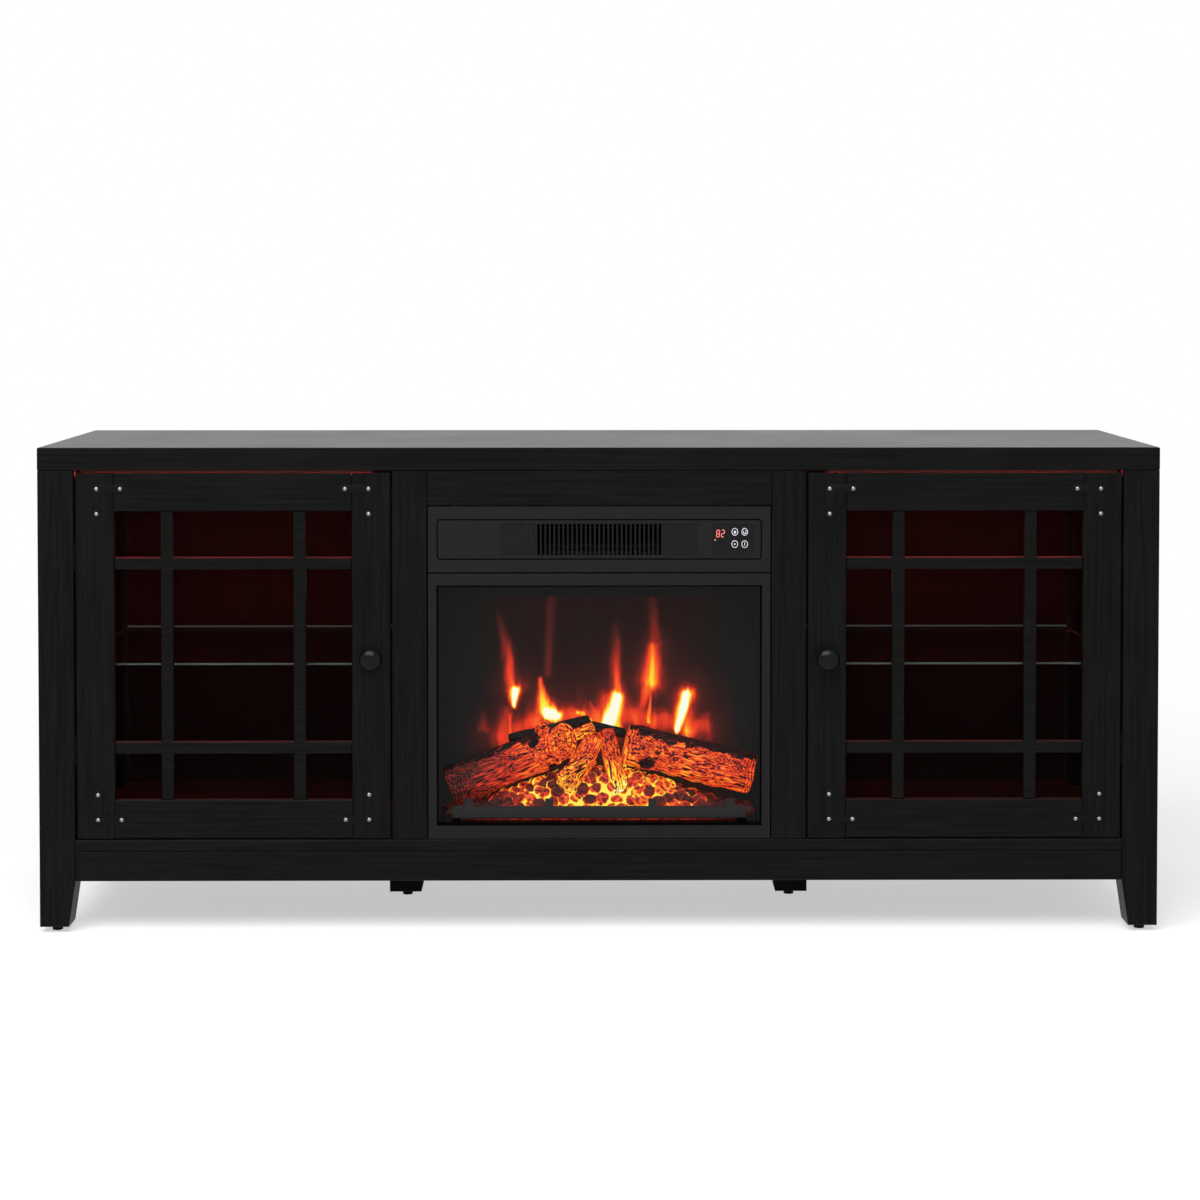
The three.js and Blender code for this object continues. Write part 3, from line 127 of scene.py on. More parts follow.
# Logs in millimetres: near end, far end, radius at each, then the heat of each end and how
# much of the upper side is charred
LOGS = {
    "left_log": ((-199, -130, 183), (-58, -126, 237), 28.0, 27.0, 0.12, 0.6, 0.05),
    "right_log": ((205, -130, 198), (36, -128, 240), 27.5, 28.5, 0.48, 0.57, 0.05),
    "cut_log": ((-66, -119, 241), (-50, -143, 244), 25.0, 27.0, 0.5, 0.57, 0.0),
    "charred_stick": ((-120, -116, 244), (-13, -113, 267), 6.5, 8.5, 0.1, 0.1, 0.9),
    "rear_log": ((-79, -112, 246), (-70, -122, 264), 13.0, 11.0, 0.5, 0.54, 0.1),
    "glowing_chunk": ((-34, -122, 250), (-8, -120, 260), 9.0, 9.0, 0.64, 0.62, 0.0),
    "bridge_log": ((-14, -116, 262), (34, -118, 251), 6.5, 7.0, 0.1, 0.1, 0.9),
    "leaning_log": ((-44, -138, 180), (-5, -122, 246), 17.0, 14.0, 0.62, 0.52, 0.0),
    "split_log": ((27, -138, 176), (10, -120, 256), 14.0, 11.0, 0.76, 0.4, 0.0),
    "branch_stub": ((-98, -136, 226), (-85, -150, 247), 8.0, 6.0, 0.08, 0.02, 0.9),
    "front_log": ((-52, -143, 196), (-8, -140, 222), 11.0, 10.0, 0.68, 0.62, 0.0),
}

# Burnt knots on the faces of the logs: x, z and radius in millimetres
KNOTS = ((94, 248, 9), (62, 216, 13), (-61, 208, 9))

# The front edge of the hearth: height over its foot in millimetres, and heat
HEARTH_EDGE = ((23.2, 0.03), (18.9, 0.03), (18.4, 0.28), (17.8, 0.28), (17.3, 0.03), (0.0, 0.0))

# The screen: how high the flames reach before they fade, then where the haze fades away from
# its middle and upwards
FLAME_TOP = (431 * MM, 434 * MM)
HAZE_MIDDLE = 5 * MM
HAZE_REACH = (110 * MM, 190 * MM)
HAZE_HEIGHT = (250 * MM, 340 * MM)

# The logs: what their corners keep, shares of the radius at which rings stand on a cut end, how
# far the end is rounded and shows its cut rim, the least radius in millimetres of a log with such
# a rim, and up to where and how far aside the embers' light is painted on them from below
BARK_VALUES = ("warmth", "charring", "rim")
END_RINGS = (0.3, 0.6, 0.85)
END_ROUNDING = 5 * MM
CUT_REACH = 15 * MM
CUT_RADIUS = 20
PAINTED_EMBER_LIGHT_FOOT, PAINTED_EMBER_LIGHT_RISE, PAINTED_EMBER_LIGHT_REACH = 165 * MM, 40 * MM, 190 * MM

# The ember bed: steps of its heap, then rows of coals and coals in a row
BED_COLUMNS, BED_ROWS = 120, 20
COAL_ROWS, COALS_IN_ROW = 7, 23

# Planes at which a finish changes: the faces of the legs and dividers that the shelf pins stand
# on, the top of the glides, and the black inside of the insert
LEG_FACE = 689.35 * MM
DIVIDER_FACE = 241.65 * MM
GLIDE_TOP = 7.8 * MM
FIREBOX_WALL = 224.95 * MM
FIREBOX_FLOOR, FIREBOX_CEILING, FIREBOX_BACK = 124 * MM, 474 * MM, -90 * MM
BAY_SEAM, BAY_ROOF = 0.1 * MM, 1.4 * MM

# The light strips: the top of the dome, and where the light fades towards the outer end
DOME_TOP = 604.7 * MM
DOME_END = (681 * MM, 685 * MM)

# How far back the ground edge of a shelf counts as its back edge, which gets a painted glow
SHELF_PAINTED_GLOW_FROM = 200 * MM

# Where the blind ribs of the vent start and end on both sides, and how far up and down they reach
BLIND_RIBS = (82.5 * MM, 140 * MM)
RIB_REACH = 22.5 * MM

# Height of the legs of the grate bar, which get painted shade under the bar
GRATE_LEG = 22 * MM

# The straps and studs: the corner stud's way in from the sides, the top and the bottom of the
# door, then the ways to the other two studs, and the strap's end beyond them
STUD_INSET, STUD_DROP, STUD_LIFT = 28.2 * MM, 21 * MM, 25 * MM
STUD_ACROSS = 30.9 * MM
STUD_UP = 32.9 * MM
STRAP_END = 1.375 * MM
STUD_SEAT = 0.3 * MM

# The band of painted shade in the gap round the fireplace's glass: the frame's lap over the glass,
# then the band itself
GLASS_LAP = 6 * MM
SHADE_BAND_WIDTH = 1.1 * MM
SHADE_BAND_CORNER = 4.2 * MM
SHADE_BAND_DEPTH = 0.6 * MM

# The control panel
SEGMENTS = {"8": "abcdefg", "2": "abged"}
DIGIT_HEIGHT = 10.0 * MM
DIGIT_WIDTH = 4.7 * MM
DIGIT_STROKE = 1.0 * MM
DIGIT_GAP = 0.12 * MM
DIGIT_LEAN = 0.07
DIGIT_FOOT = 521.8 * MM
DIGIT_PLACES = {"8": 153.3 * MM, "2": 159.7 * MM}
DOT_PLACE = (152.1 * MM, 518.3 * MM)
KEY_COLUMNS = (178.0 * MM, 191.0 * MM)
KEY_ROWS = (529.1 * MM, 512.9 * MM)
KEY_OUTER = (4.2 * MM, 5.0 * MM)
KEY_INNER = (3.35 * MM, 4.15 * MM)

# The open ring on the second key: its outer and inner radii, then its first and last angle
OPEN_RING = ((2.3 * MM, 2.9 * MM), (1.4 * MM, 1.9 * MM))
OPEN_TURN = (55.6225, -213.6676)

# Outlines of two key signs in millimetres
FLAME_SIGN = (
    (0, 2.7), (0.7, 1.5), (1.5, 0.6), (1.7, -0.7), (1.1, -1.9), (0, -2.4),
    (-1.1, -1.9), (-1.6, -0.8), (-1.2, 0.2), (-0.6, 0.6), (-0.4, 1.6),
)
BAR_SIGN = (
    (-0.8, -1.8), (0.2, -2.2), (0.1, -0.4), (0.9, 0.6), (0.5, 2.4), (-0.3, 2.6), (-0.3, 0.0),
)

# Two ways in the frame: a turned form's axis laid towards the front, and from the coals to the
# eye of someone in the room
OUTWARD = Matrix.Rotation(math.pi / 2, 4, "X")
TO_ROOM = Vector((0, -0.8, 0.6))

# How far a coal is stretched along each of its own axes: least and most
COAL_STRETCH = ((0.85, 1.25), (0.8, 1.0), (0.75, 1.05))

# The studio: the floor's half-width and where its own white fades, the lamp, and the camera with
# its turn in degrees
FLOOR_REACH = 30.0
FLOOR_FADE = (1.1, 2.4)
LAMP_SIZE = (4.0, 2.4)
LAMP_PLACE = (-0.8, -2.6, 3.2)
LAMP_AIM = Vector((0, 0, 0.3))
CAMERA_PLACE = (-0.0222, -3.5124, 0.8549)
CAMERA_TURN = (88.277, 0, -0.399)
CAMERA_SENSOR = 36.0
CAMERA_SHIFT = -0.2


def arithmetic(operation, swapped=False):
    """An operator of Wire that adds a Math node; a swapped one has the wire on its right."""
    def apply(self, value):
        return self.finish.math(operation, *((value, self) if swapped else (self, value)))
    return apply


class Wire:
    """An output socket of a finish. Arithmetic on it adds Math nodes."""

    def __init__(self, finish, socket):
        self.finish = finish
        self.socket = socket

    def other(self, name):
        return Wire(self.finish, self.socket.node.outputs[name])

    __add__ = __radd__ = arithmetic("ADD")
    __mul__ = __rmul__ = arithmetic("MULTIPLY")
    __sub__, __rsub__ = arithmetic("SUBTRACT"), arithmetic("SUBTRACT", swapped=True)
    __truediv__, __rtruediv__ = arithmetic("DIVIDE"), arithmetic("DIVIDE", swapped=True)
    __gt__, __lt__ = arithmetic("GREATER_THAN"), arithmetic("LESS_THAN")

    def __abs__(self):
        return self.finish.math("ABSOLUTE", self)


class Finish:
    """The nodes of one material, or of the world."""

    def __init__(self, owner):
        owner.use_nodes = True
        self.owner = owner
        self.tree = owner.node_tree
        self.tree.nodes.clear()

    def node(self, kind, inputs=None, output=0, **settings):
        """Adds a node with its settings, then the values or links of its sockets."""
        made = self.tree.nodes.new(kind)
        for name, value in settings.items():
            if name == "stops":
                self.set_stops(made.color_ramp.elements, value)
            else:
                setattr(made, name, value)
        for name, value in (inputs or {}).items():
            if isinstance(value, Wire):
                self.tree.links.new(value.socket, made.inputs[name])
            else:
                made.inputs[name].default_value = value
        return Wire(self, made.outputs[output]) if made.outputs else None

    def set_stops(self, elements, stops):
        while len(elements) < len(stops):
            elements.new(1.0)
        for element, (place, colour) in zip(elements, stops):
            element.position = place
            element.color = tint(colour)

    def math(self, operation, *values):
        return self.node("ShaderNodeMath", dict(enumerate(values)), operation=operation)

    def vector(self, operation, *values, output="Vector"):
        inputs = dict(enumerate(values))
        return self.node("ShaderNodeVectorMath", inputs, output, operation=operation)

    def combine(self, x, y, z):
        return self.node("ShaderNodeCombineXYZ", {0: x, 1: y, 2: z})

    def ease(self, value, low, high):
        """0 below low, 1 above high, and smooth between."""
        inputs = {"Value": value, "From Min": low, "From Max": high}
        return self.node("ShaderNodeMapRange", inputs, interpolation_type="SMOOTHSTEP")

    def mix(self, factor, first, second, way="MIX"):
        """A colour between two others, or another way of mixing them."""
        inputs = {0: factor, 6: first, 7: second}
        return self.node("ShaderNodeMix", inputs, 2, data_type="RGBA", blend_type=way)

    def blend(self, factor, first, second):
        """A number between two others."""
        return first + (second - first) * factor

    @cached_property
    def place(self):
        """The place on the piece in metres."""
        return self.node("ShaderNodeTexCoord", output="Object")

    def axes(self, vector=None):
        """The three parts of a vector, or of the place."""
        split = self.node("ShaderNodeSeparateXYZ", {0: vector or self.place})
        return split, split.other("Y"), split.other("Z")

    def upness(self):
        """1 where the surface looks up, -1 where it looks down."""
        return self.axes(self.node("ShaderNodeTexCoord", output="Normal"))[2]

    def stored(self, name):
        """A number that the mesh keeps for each of its corners."""
        return self.node("ShaderNodeAttribute", output="Fac", attribute_name=name)

    def seen(self):
        """1 for rays of the camera, of reflections and through glass, 0 for lighting."""
        ray = self.node("ShaderNodeLightPath")
        clear = self.math("MAXIMUM", ray.other("Is Glossy Ray"), ray.other("Is Transmission Ray"))
        return self.math("MAXIMUM", ray, clear)

    def cloud(self, scale, detail=2.0, stretch=(1.0, 1.0, 1.0), distortion=0.0):
        """Soft noise over the piece, about 0.5 on average."""
        return self.node("ShaderNodeTexNoise", {
            "Vector": self.vector("MULTIPLY", self.place, stretch), "Scale": scale,
            "Detail": detail, "Distortion": distortion,
        })

    def surface(self, colour, rough, level, bump=None, **sockets):
        """Ends the tree in one principled shader.

        Bump holds height, strength and distance; more sockets are named with _ for blanks.
        """
        inputs = {"Base Color": colour, "Roughness": rough, "Specular IOR Level": level}
        inputs.update((name.replace("_", " "), value) for name, value in sockets.items())
        if bump:
            names = ("Height", "Strength", "Distance")
            inputs["Normal"] = self.node("ShaderNodeBump", dict(zip(names, bump)))
        shader = self.node("ShaderNodeBsdfPrincipled", inputs)
        self.node("ShaderNodeOutputMaterial", {"Surface": shader})
        return self.owner


def new_finish(name):
    return Finish(bpy.data.materials.new(name))


def grey(value):
    return (value, value, value, 1.0)


def tint(colour, share=1.0):
    """A colour of three parts, made darker or lighter, with its alpha."""
    return (*(min(1.0, part * share) for part in colour), 1.0)


def clamp(value):
    return max(0.0, min(1.0, value))


def ramp(value, low, high):
    """0 below low, 1 above high, and even between."""
    return clamp((value - low) / (high - low))


def dress(material, *nodes):
    """Gives CAD nodes a finish in place of their plain one."""
    for name in nodes:
        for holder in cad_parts[name].material_slots:
            holder.material = material


def add_object(name, data):
    made = bpy.data.objects.new(name, data)
    bpy.context.scene.collection.objects.link(made)
    return made


def mesh_of(name, shape):
    """Turns a finished bmesh into a mesh."""
    bmesh.ops.recalc_face_normals(shape, faces=shape.faces)
    mesh = bpy.data.meshes.new(name)
    shape.to_mesh(mesh)
    shape.free()
    return mesh


def piece(name, shape, material, body, sharp=40.0, matrix=Matrix()):
    """Turns a bmesh into a piece that rides on a body of the frame."""
    mesh = mesh_of(name, shape)
    made = add_object(name, mesh)
    mesh.materials.append(material)
    mesh.shade_smooth()
    mesh.set_sharp_from_angle(angle=math.radians(sharp))
    made.matrix_world = matrix
    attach(made, body)
    return made


def bridge(shape, lower, upper):
    """Joins two rings of corners with faces; a ring may be a single point."""
    sides = max(len(lower), len(upper))
    for side in range(sides):
        following = (side + 1) % sides
        spots = ((lower, side), (lower, following), (upper, following), (upper, side))
        corners = dict.fromkeys(ring[place % len(ring)] for ring, place in spots)
        shape.faces.new(tuple(corners))


def add_lathe(shape, profile, sides, matrix):
    """Adds a turned form. The profile holds (radius, height) pairs and ends on the axis."""
    rings = []
    for radius, height in profile:
        turns = [math.tau * side / sides for side in range(sides if radius else 1)]
        rings.append([
            shape.verts.new(matrix @ Vector((
                radius * math.cos(turn), radius * math.sin(turn), height,
            )))
            for turn in turns
        ])
    for lower, upper in zip(rings, rings[1:]):
        bridge(shape, lower, upper)


def add_plate(shape, outline, front, back, edge=0.0):
    """Adds a flat plate that faces the front, with an outline of (x, z) pairs.

    Its front edge is rounded by the length in edge.
    """
    low, high = ([shape.verts.new((x, depth, z)) for x, z in outline] for depth in (back, front))
    face = shape.faces.new(high)
    shape.faces.new(low[::-1])
    bridge(shape, low, high)
    if edge:
        bmesh.ops.bevel(
            shape, geom=list(face.edges), offset=edge, segments=2, profile=0.5, affect="EDGES",
        )


def add_band(shape, outer, inner, front, back, closed=True):
    """Adds a flat band that faces the front, between two lines of (x, z) points."""
    rows = [
        [
            shape.verts.new((x, depth, z))
            for (x, z), depth in ((far, front), (far, back), (near, back), (near, front))
        ]
        for far, near in zip(outer, inner)
    ]
    for here, there in zip(rows, rows[1:] + (rows[:1] if closed else [])):
        bridge(shape, here, there)
    if not closed:
        shape.faces.new(rows[0])
        shape.faces.new(rows[-1][::-1])


def arc(centre, radius, first, last, steps):
    """Points of an arc in (x, z), by angles in degrees; an oval has two radii."""
    across, up = radius if isinstance(radius, tuple) else (radius, radius)
    turns = [math.radians(first + (last - first) * step / steps) for step in range(steps + 1)]
    return [
        (centre[0] + across * math.cos(turn), centre[1] + up * math.sin(turn)) for turn in turns
    ]


def disc(centre, radius):
    return arc(centre, radius, 0, 345, 15)


def quarter(steps):
    """Cosine and sine of the even turns from 0 to 90 degrees."""
    turns = [math.pi / 2 * step / steps for step in range(steps + 1)]
    return [(math.cos(turn), math.sin(turn)) for turn in turns]


# Settings

def colour_setting(name, description, default):
    return FloatVectorProperty(
        name=name, description=description, subtype="COLOR", size=3, min=0, max=1, default=default,
    )


def share_setting(name, description, default):
    return FloatProperty(
        name=name, description=description, subtype="FACTOR", min=0, max=1, default=default,
    )


def length_setting(name, description, default, least=0.0):
    return FloatProperty(
        name=name, description=description, subtype="DISTANCE", unit="LENGTH", min=least,
        default=default,
    )


def count_setting(name, description, default):
    return IntProperty(name=name, description=description, min=12, default=default)


class WoodSettings(bpy.types.PropertyGroup):
    face: colour_setting(
        "Face", "Colour of the black face between its pores", (0.0036, 0.0035, 0.0034),
    )
    pore: colour_setting("Pores", "Colour of the open pores", (0.0016, 0.0016, 0.0016))
    sheen: share_setting("Roughness", "Roughness of the satin lacquer", 0.35)
    fibre: length_setting(
        "Fibre width", "Width of the grain's broad streaks", 3.2 * MM, 0.5 * MM,
    )


class GlassSettings(bpy.types.PropertyGroup):
    door_cover: share_setting("Door glass", "How much the door glass hides", 0.25)
    fire_cover: share_setting("Fire glass", "How much the fireplace glass hides", 0.06)
    shelf_cover: share_setting("Shelf glass", "How much the faces of a shelf hide", 0.3)
    # The ground edges are pale; this colour shows only in a painted highlight band along their
    # middle
    edge: colour_setting("Ground edge", "Colour of the shelves' ground edges", (0.16, 0.19, 0.18))


class LightSettings(bpy.types.PropertyGroup):
    colour: colour_setting("Strip colour", "Colour of the lit strips", (1.0, 0.05, 0.04))
    power: FloatProperty(
        name="Strip strength", description="Strength of the lit strips", min=0, default=330.0,
    )


class FittingSettings(bpy.types.PropertyGroup):
    stud: length_setting("Stud", "Diameter of a domed stud", 5.6 * MM, MM)
    stud_rise: length_setting("Stud rise", "Height of a domed stud", 2.2 * MM)
    strap: length_setting("Strap width", "Width of a corner strap", 11 * MM, MM)
    strap_rise: length_setting("Strap thickness", "Thickness of a corner strap", 0.9 * MM)
    knob_sides: count_setting("Knob sides", "Faces round a turned knob", 72)


class FireSettings(bpy.types.PropertyGroup):
    haze: colour_setting(
        "Haze", "Colour of the lit screen between the flames", (0.018, 0.007, 0.006),
    )
    screen: colour_setting("Screen", "Colour of the unlit screen", (0.009, 0.009, 0.009))
    resin: colour_setting("Char", "Colour of the charred bark", (0.006, 0.005, 0.005))
    log_rings: count_setting("Log rings", "Rings along a log", 90)
    log_sides: count_setting("Log sides", "Faces round a log", 72)
    seed: IntProperty(name="Seed", description="Seed of the coals' layout", default=7)


class DisplaySettings(bpy.types.PropertyGroup):
    digits: colour_setting("Digits", "Colour of the lit digits", (1.0, 0.2, 0.14))
    keys: colour_setting("Keys", "Colour of the printed touch keys", (0.56, 0.58, 0.62))


class StudioSettings(bpy.types.PropertyGroup):
    fill: FloatProperty(
        name="Fill", description="Strength of the light from all round", min=0, default=0.55,
    )
    softbox: FloatProperty(
        name="Softbox", description="Power of the light over the front", unit="POWER", min=0,
        default=215.0,
    )
    lens: FloatProperty(
        name="Lens", description="Focal length of the camera", subtype="DISTANCE_CAMERA",
        unit="CAMERA", min=1, default=76.18,
    )
    floor_lift: share_setting(
        "Floor lift", "How much of the floor's own white the camera sees", 0.52,
    )


# Finishes of the cabinet

def wood_finish(name, along, metal=None, foot=0.0, painted_top_light=0.0, lacquer=0.0):
    """Black satin face with grain along one axis; metal and foot mark the pins and the glides.

    The upper sides take a painted reddish highlight, standing for the strips' red light on them,
    and a coat of lacquer.
    """
    wood = bpy.context.scene.stand_wood
    finish = new_finish(name)
    across = 1 / wood.fibre
    stretch = [across] * 3
    stretch["XYZ".index(along)] = across / 40
    broad = finish.cloud(1.0, 3.0, stretch, 0.35)
    fine = finish.cloud(3.4, 4.0, stretch, 0.2)
    mottle = finish.cloud(7.0, 2.0)
    pores = finish.ease(fine, 0.56, 0.7)
    face = finish.mix(
        finish.ease(broad * 0.8 + mottle * 0.2, 0.35, 0.65),
        tint(wood.face, 0.68), tint(wood.face, 1.32),
    )
    colour = finish.mix(pores, face, tint(wood.pore))
    rough = wood.sheen + 0.12 * pores + 0.1 * (mottle - 0.5)
    metallic = coat = 0.0
    if metal:
        plane, inside = metal
        reach = abs(finish.axes()[0])
        pin = reach < plane if inside else reach > plane
        colour = finish.mix(pin, colour, grey(0.6))
        rough = finish.blend(pin, rough, 0.25)
        metallic = pin
    if foot:
        glide = finish.axes()[2] < foot
        colour = finish.mix(glide, colour, grey(0.01))
    if painted_top_light or lacquer:
        upper = finish.ease(finish.upness(), 0.6, 0.9)
        coat = upper * lacquer
        # Painted highlight: upward faces turn reddish brown so that they show the strips' red light
        # on them
        colour = finish.mix(upper * painted_top_light, colour, (0.036, 0.018, 0.018, 1.0))
    return finish.surface(
        colour, rough, 0.05, (pores * -0.6 + broad * 0.4, 0.3, 0.2 * MM),
        Metallic=metallic, Coat_Weight=coat, Coat_Roughness=0.36,
    )


def board_finish():
    """Thin black board of the back, almost without grain."""
    finish = new_finish("black_backing_board")
    dust = finish.cloud(60.0, 4.0)
    felt = finish.cloud(900.0, 2.0)
    colour = finish.mix(dust, grey(0.0055), grey(0.009))
    return finish.surface(colour, 0.62 + 0.12 * felt, 0.05, (felt, 0.2, 0.2 * MM))


def sheet_metal_finish(
    name, colour, rough, metallic, grain, level, strength=0.15, face=None, ribs=None, soot_and_painted_shade=None,
):
    """Painted, plated or zinc-coated metal with a fine texture and soft blotches.

    Grooves, slots and reveals behind the plane of the face get painted shade, near-black and
    metallic so no light shows on them; the blind ribs do not.
    What stands lower than the given height gets painted shade, near-black and metallic in the same
    way.
    """
    finish = new_finish(name)
    tooth = finish.cloud(grain, 2.0)
    blotch = finish.cloud(55.0, 3.0)
    coat = finish.mix(blotch * 0.6 + tooth * 0.4, tint(colour, 0.82), tint(colour, 1.18))
    if face:
        x, y, z = finish.axes()
        # Painted shade: what lies behind the face plane turns near-black and metallic
        painted_recess_shade = finish.ease(y, face + 0.2 * MM, face + 0.5 * MM)
        if ribs:
            near, far, bottom, top = ribs
            painted_recess_shade = painted_recess_shade * (1 - (abs(x) > near) * (abs(x) < far) * (z > bottom) * (z < top))
        coat = finish.mix(painted_recess_shade, coat, grey(0.0004))
        metallic = finish.blend(painted_recess_shade, metallic, 1.0)
    if soot_and_painted_shade:
        # Painted shade: the grate's legs under its bar turn near-black and metallic
        painted_shade_below = finish.axes()[2] < soot_and_painted_shade
        coat = finish.mix(painted_shade_below, coat, grey(0.0008))
        metallic = finish.blend(painted_shade_below, metallic, 1.0)
    return finish.surface(
        coat, rough + 0.16 * (blotch - 0.5), level, (tooth, strength, 0.2 * MM),
        Metallic=metallic,
    )


def shell_finish():
    """Zinc-coated sheet outside, heat-proof black inside the firebox and the heater bay."""
    finish = new_finish("firebox_sheet")
    x, y, z = finish.axes()
    firebox = (z > FIREBOX_FLOOR) * (z < FIREBOX_CEILING) * (y < FIREBOX_BACK)
    bay_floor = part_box("glass_frame")[1].z - BAY_SEAM
    bay_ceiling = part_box("insert_shell")[1].z - BAY_ROOF
    bay = (z > bay_floor) * (z < bay_ceiling)
    inside = (abs(x) < FIREBOX_WALL) * (firebox + bay)
    spangle = finish.node("ShaderNodeTexVoronoi", {"Vector": finish.place, "Scale": 160.0}, "Color")
    zinc = finish.mix(finish.axes(spangle)[0], grey(0.3), grey(0.42))
    soot_and_painted_shade = finish.cloud(30.0, 4.0)
    black = finish.mix(soot_and_painted_shade, grey(0.004), grey(0.009))
    return finish.surface(
        finish.mix(inside, zinc, black), 0.38 + 0.2 * inside + 0.1 * soot_and_painted_shade, 0.1,
        (soot_and_painted_shade, 0.1, 0.3 * MM), Metallic=1 - inside,
    )


def glass_finish(name, cover, colour, level, rough, edge=None):
    """Clear glass as a thin cover; edge colours a shelf's ground sides in a painted highlight band,
    and the back one gets a painted glow.
    """
    finish = new_finish(name)
    smear = finish.cloud(14.0, 3.0, (1.0, 1.0, 0.5))
    alpha = cover * (0.9 + 0.2 * smear)
    shade = finish.mix(smear, tint(colour, 0.8), tint(colour))
    lit, strength = BLACK, 0.0
    if edge:
        side = abs(finish.upness()) < 0.5
        low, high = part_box("left_glass_shelf")
        _, y, z = finish.axes()
        off = abs(z - (low.z + high.z) / 2) / ((high.z - low.z) / 2)
        # Painted highlight: only a band along the middle of each ground side is pale, its arrises
        # stay dark
        painted_highlight_band = 1 - finish.ease(off, 0.3, 0.75)
        back = y > SHELF_PAINTED_GLOW_FROM
        ground = finish.mix(painted_highlight_band * (1 - back), grey(0.004), tint(edge))
        shade = finish.mix(side, shade, ground)
        alpha = finish.blend(side, alpha, 0.85)
        # Painted glow: the back ground edge gives off light though it is no lamp
        lit, strength = finish.mix(side * painted_highlight_band * back, BLACK, grey(0.1)), 1.0
    return finish.surface(
        shade, rough + 0.04 * smear, level, (smear, 0.02, 0.4 * MM), Alpha=alpha,
        Emission_Color=lit, Emission_Strength=strength,
    )


def strip_finish():
    """Grey channel with a lit dome below it."""
    light = bpy.context.scene.stand_light
    finish = new_finish("lit_strip")
    x, _, z = finish.axes()
    dome = (z < DOME_TOP) * (1 - finish.ease(abs(x), *DOME_END))
    speck = finish.cloud(300.0, 1.0)
    return finish.surface(
        finish.mix(dome, grey(0.3), tint(light.colour)), 0.5 + 0.1 * speck, 0.5,
        Emission_Color=finish.mix(dome, BLACK, tint(light.colour)), Emission_Strength=light.power,
    )


class STAND_OT_wood(bpy.types.Operator):
    """Gives every board, rail, stile and leg its black grain"""

    bl_idname = "stand.wood"
    bl_label = "Wood"

    def execute(self, context):
        dress(wood_finish("black_wood_across", "X"), *GRAIN_ACROSS)
        dress(wood_finish("black_top", "X", lacquer=0.22), "top_panel")
        # Upper sides of the rails, muntins and bottom panel get a painted reddish highlight
        dress(wood_finish("black_wood_painted_top_light", "X", painted_top_light=0.45), *LEDGES)
        dress(wood_finish("black_wood_up", "Z"), *GRAIN_UP)
        legs = both("_front_leg", "_rear_leg")
        dress(wood_finish("black_leg", "Z", (LEG_FACE, True), GLIDE_TOP), *legs)
        dress(wood_finish("black_divider", "Z", (DIVIDER_FACE, False)), *both("_divider"))
        dress(board_finish(), *both("_back_panel"))
        return {"FINISHED"}


class STAND_OT_glass(bpy.types.Operator):
    """Gives the doors, the shelves and the fireplace their glass"""

    bl_idname = "stand.glass"
    bl_label = "Glass"

    def execute(self, context):
        glass = context.scene.stand_glass
        door = glass_finish("door_pane", glass.door_cover, (0.0006, 0.0005, 0.0005), 0.02, 0.05)
        fire = glass_finish("fire_pane", glass.fire_cover, (0.01, 0.01, 0.01), 0.02, 0.04)
        # The shelves' ground edges get a painted highlight band, and the back ones a painted glow
        shelf = glass_finish(
            "shelf_pane_painted_edge_light", glass.shelf_cover, (0.004, 0.005, 0.005), 0.05, 0.04, glass.edge,
        )
        dress(door, *both("_door_glass"))
        dress(fire, "front_glass")
        dress(shelf, *both("_glass_shelf"))
        return {"FINISHED"}


class STAND_OT_metal(bpy.types.Operator):
    """Gives the hinges, the fireplace's sheet metal, the grate and the blower their finishes"""

    bl_idname = "stand.metal"
    bl_label = "Metal parts"

    def execute(self, context):
        nickel = sheet_metal_finish("nickel_plate", (0.62, 0.61, 0.59), 0.24, 1.0, 700.0, 0.5, 0.05)
        zinc = sheet_metal_finish("zinc_plate", (0.36, 0.37, 0.38), 0.36, 1.0, 260.0, 0.5, 0.05)
        foil = sheet_metal_finish("polished_foil", (0.78, 0.78, 0.77), 0.14, 1.0, 220.0, 0.5, 0.08)
        paint = sheet_metal_finish("blower_paint", (0.016, 0.016, 0.016), 0.5, 0.0, 800.0, 0.3)
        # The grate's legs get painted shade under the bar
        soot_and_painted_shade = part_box("grate_bar")[0].z + GRATE_LEG
        grate = sheet_metal_finish(
            "grate_coat_painted_shade_below", (0.019, 0.019, 0.0195), 0.46, 0.0, 900.0, 0.1, soot_and_painted_shade=soot_and_painted_shade,
        )
        # The glass frame and the vent fascia get painted shade in their recesses
        coat = ((0.0063, 0.0063, 0.0064), 0.5, 0.0, 1500.0, 0.1, 0.15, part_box("glass_frame")[0].y)
        low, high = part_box("vent_fascia")
        middle = (low.z + high.z) / 2
        ribs = (*BLIND_RIBS, middle - RIB_REACH, middle + RIB_REACH)
        dress(nickel, *HINGE_PARTS)
        dress(shell_finish(), "insert_shell")
        dress(zinc, "insert_back_plate")
        dress(sheet_metal_finish("grey_powder_coat_painted_recess_shade", *coat), "glass_frame")
        dress(sheet_metal_finish("grey_vent_coat_painted_recess_shade", *coat, ribs), "vent_fascia")
        dress(grate, "grate_bar")
        dress(foil, "flicker_spindle")
        dress(paint, "blower_wheel")
        return {"FINISHED"}


class STAND_OT_lights(bpy.types.Operator):
    """Lights the red strips over the shelves"""

    bl_idname = "stand.lights"
    bl_label = "Light strips"

    def execute(self, context):
        dress(strip_finish(), *both("_light_strip"))
        return {"FINISHED"}


# Fittings of the doors

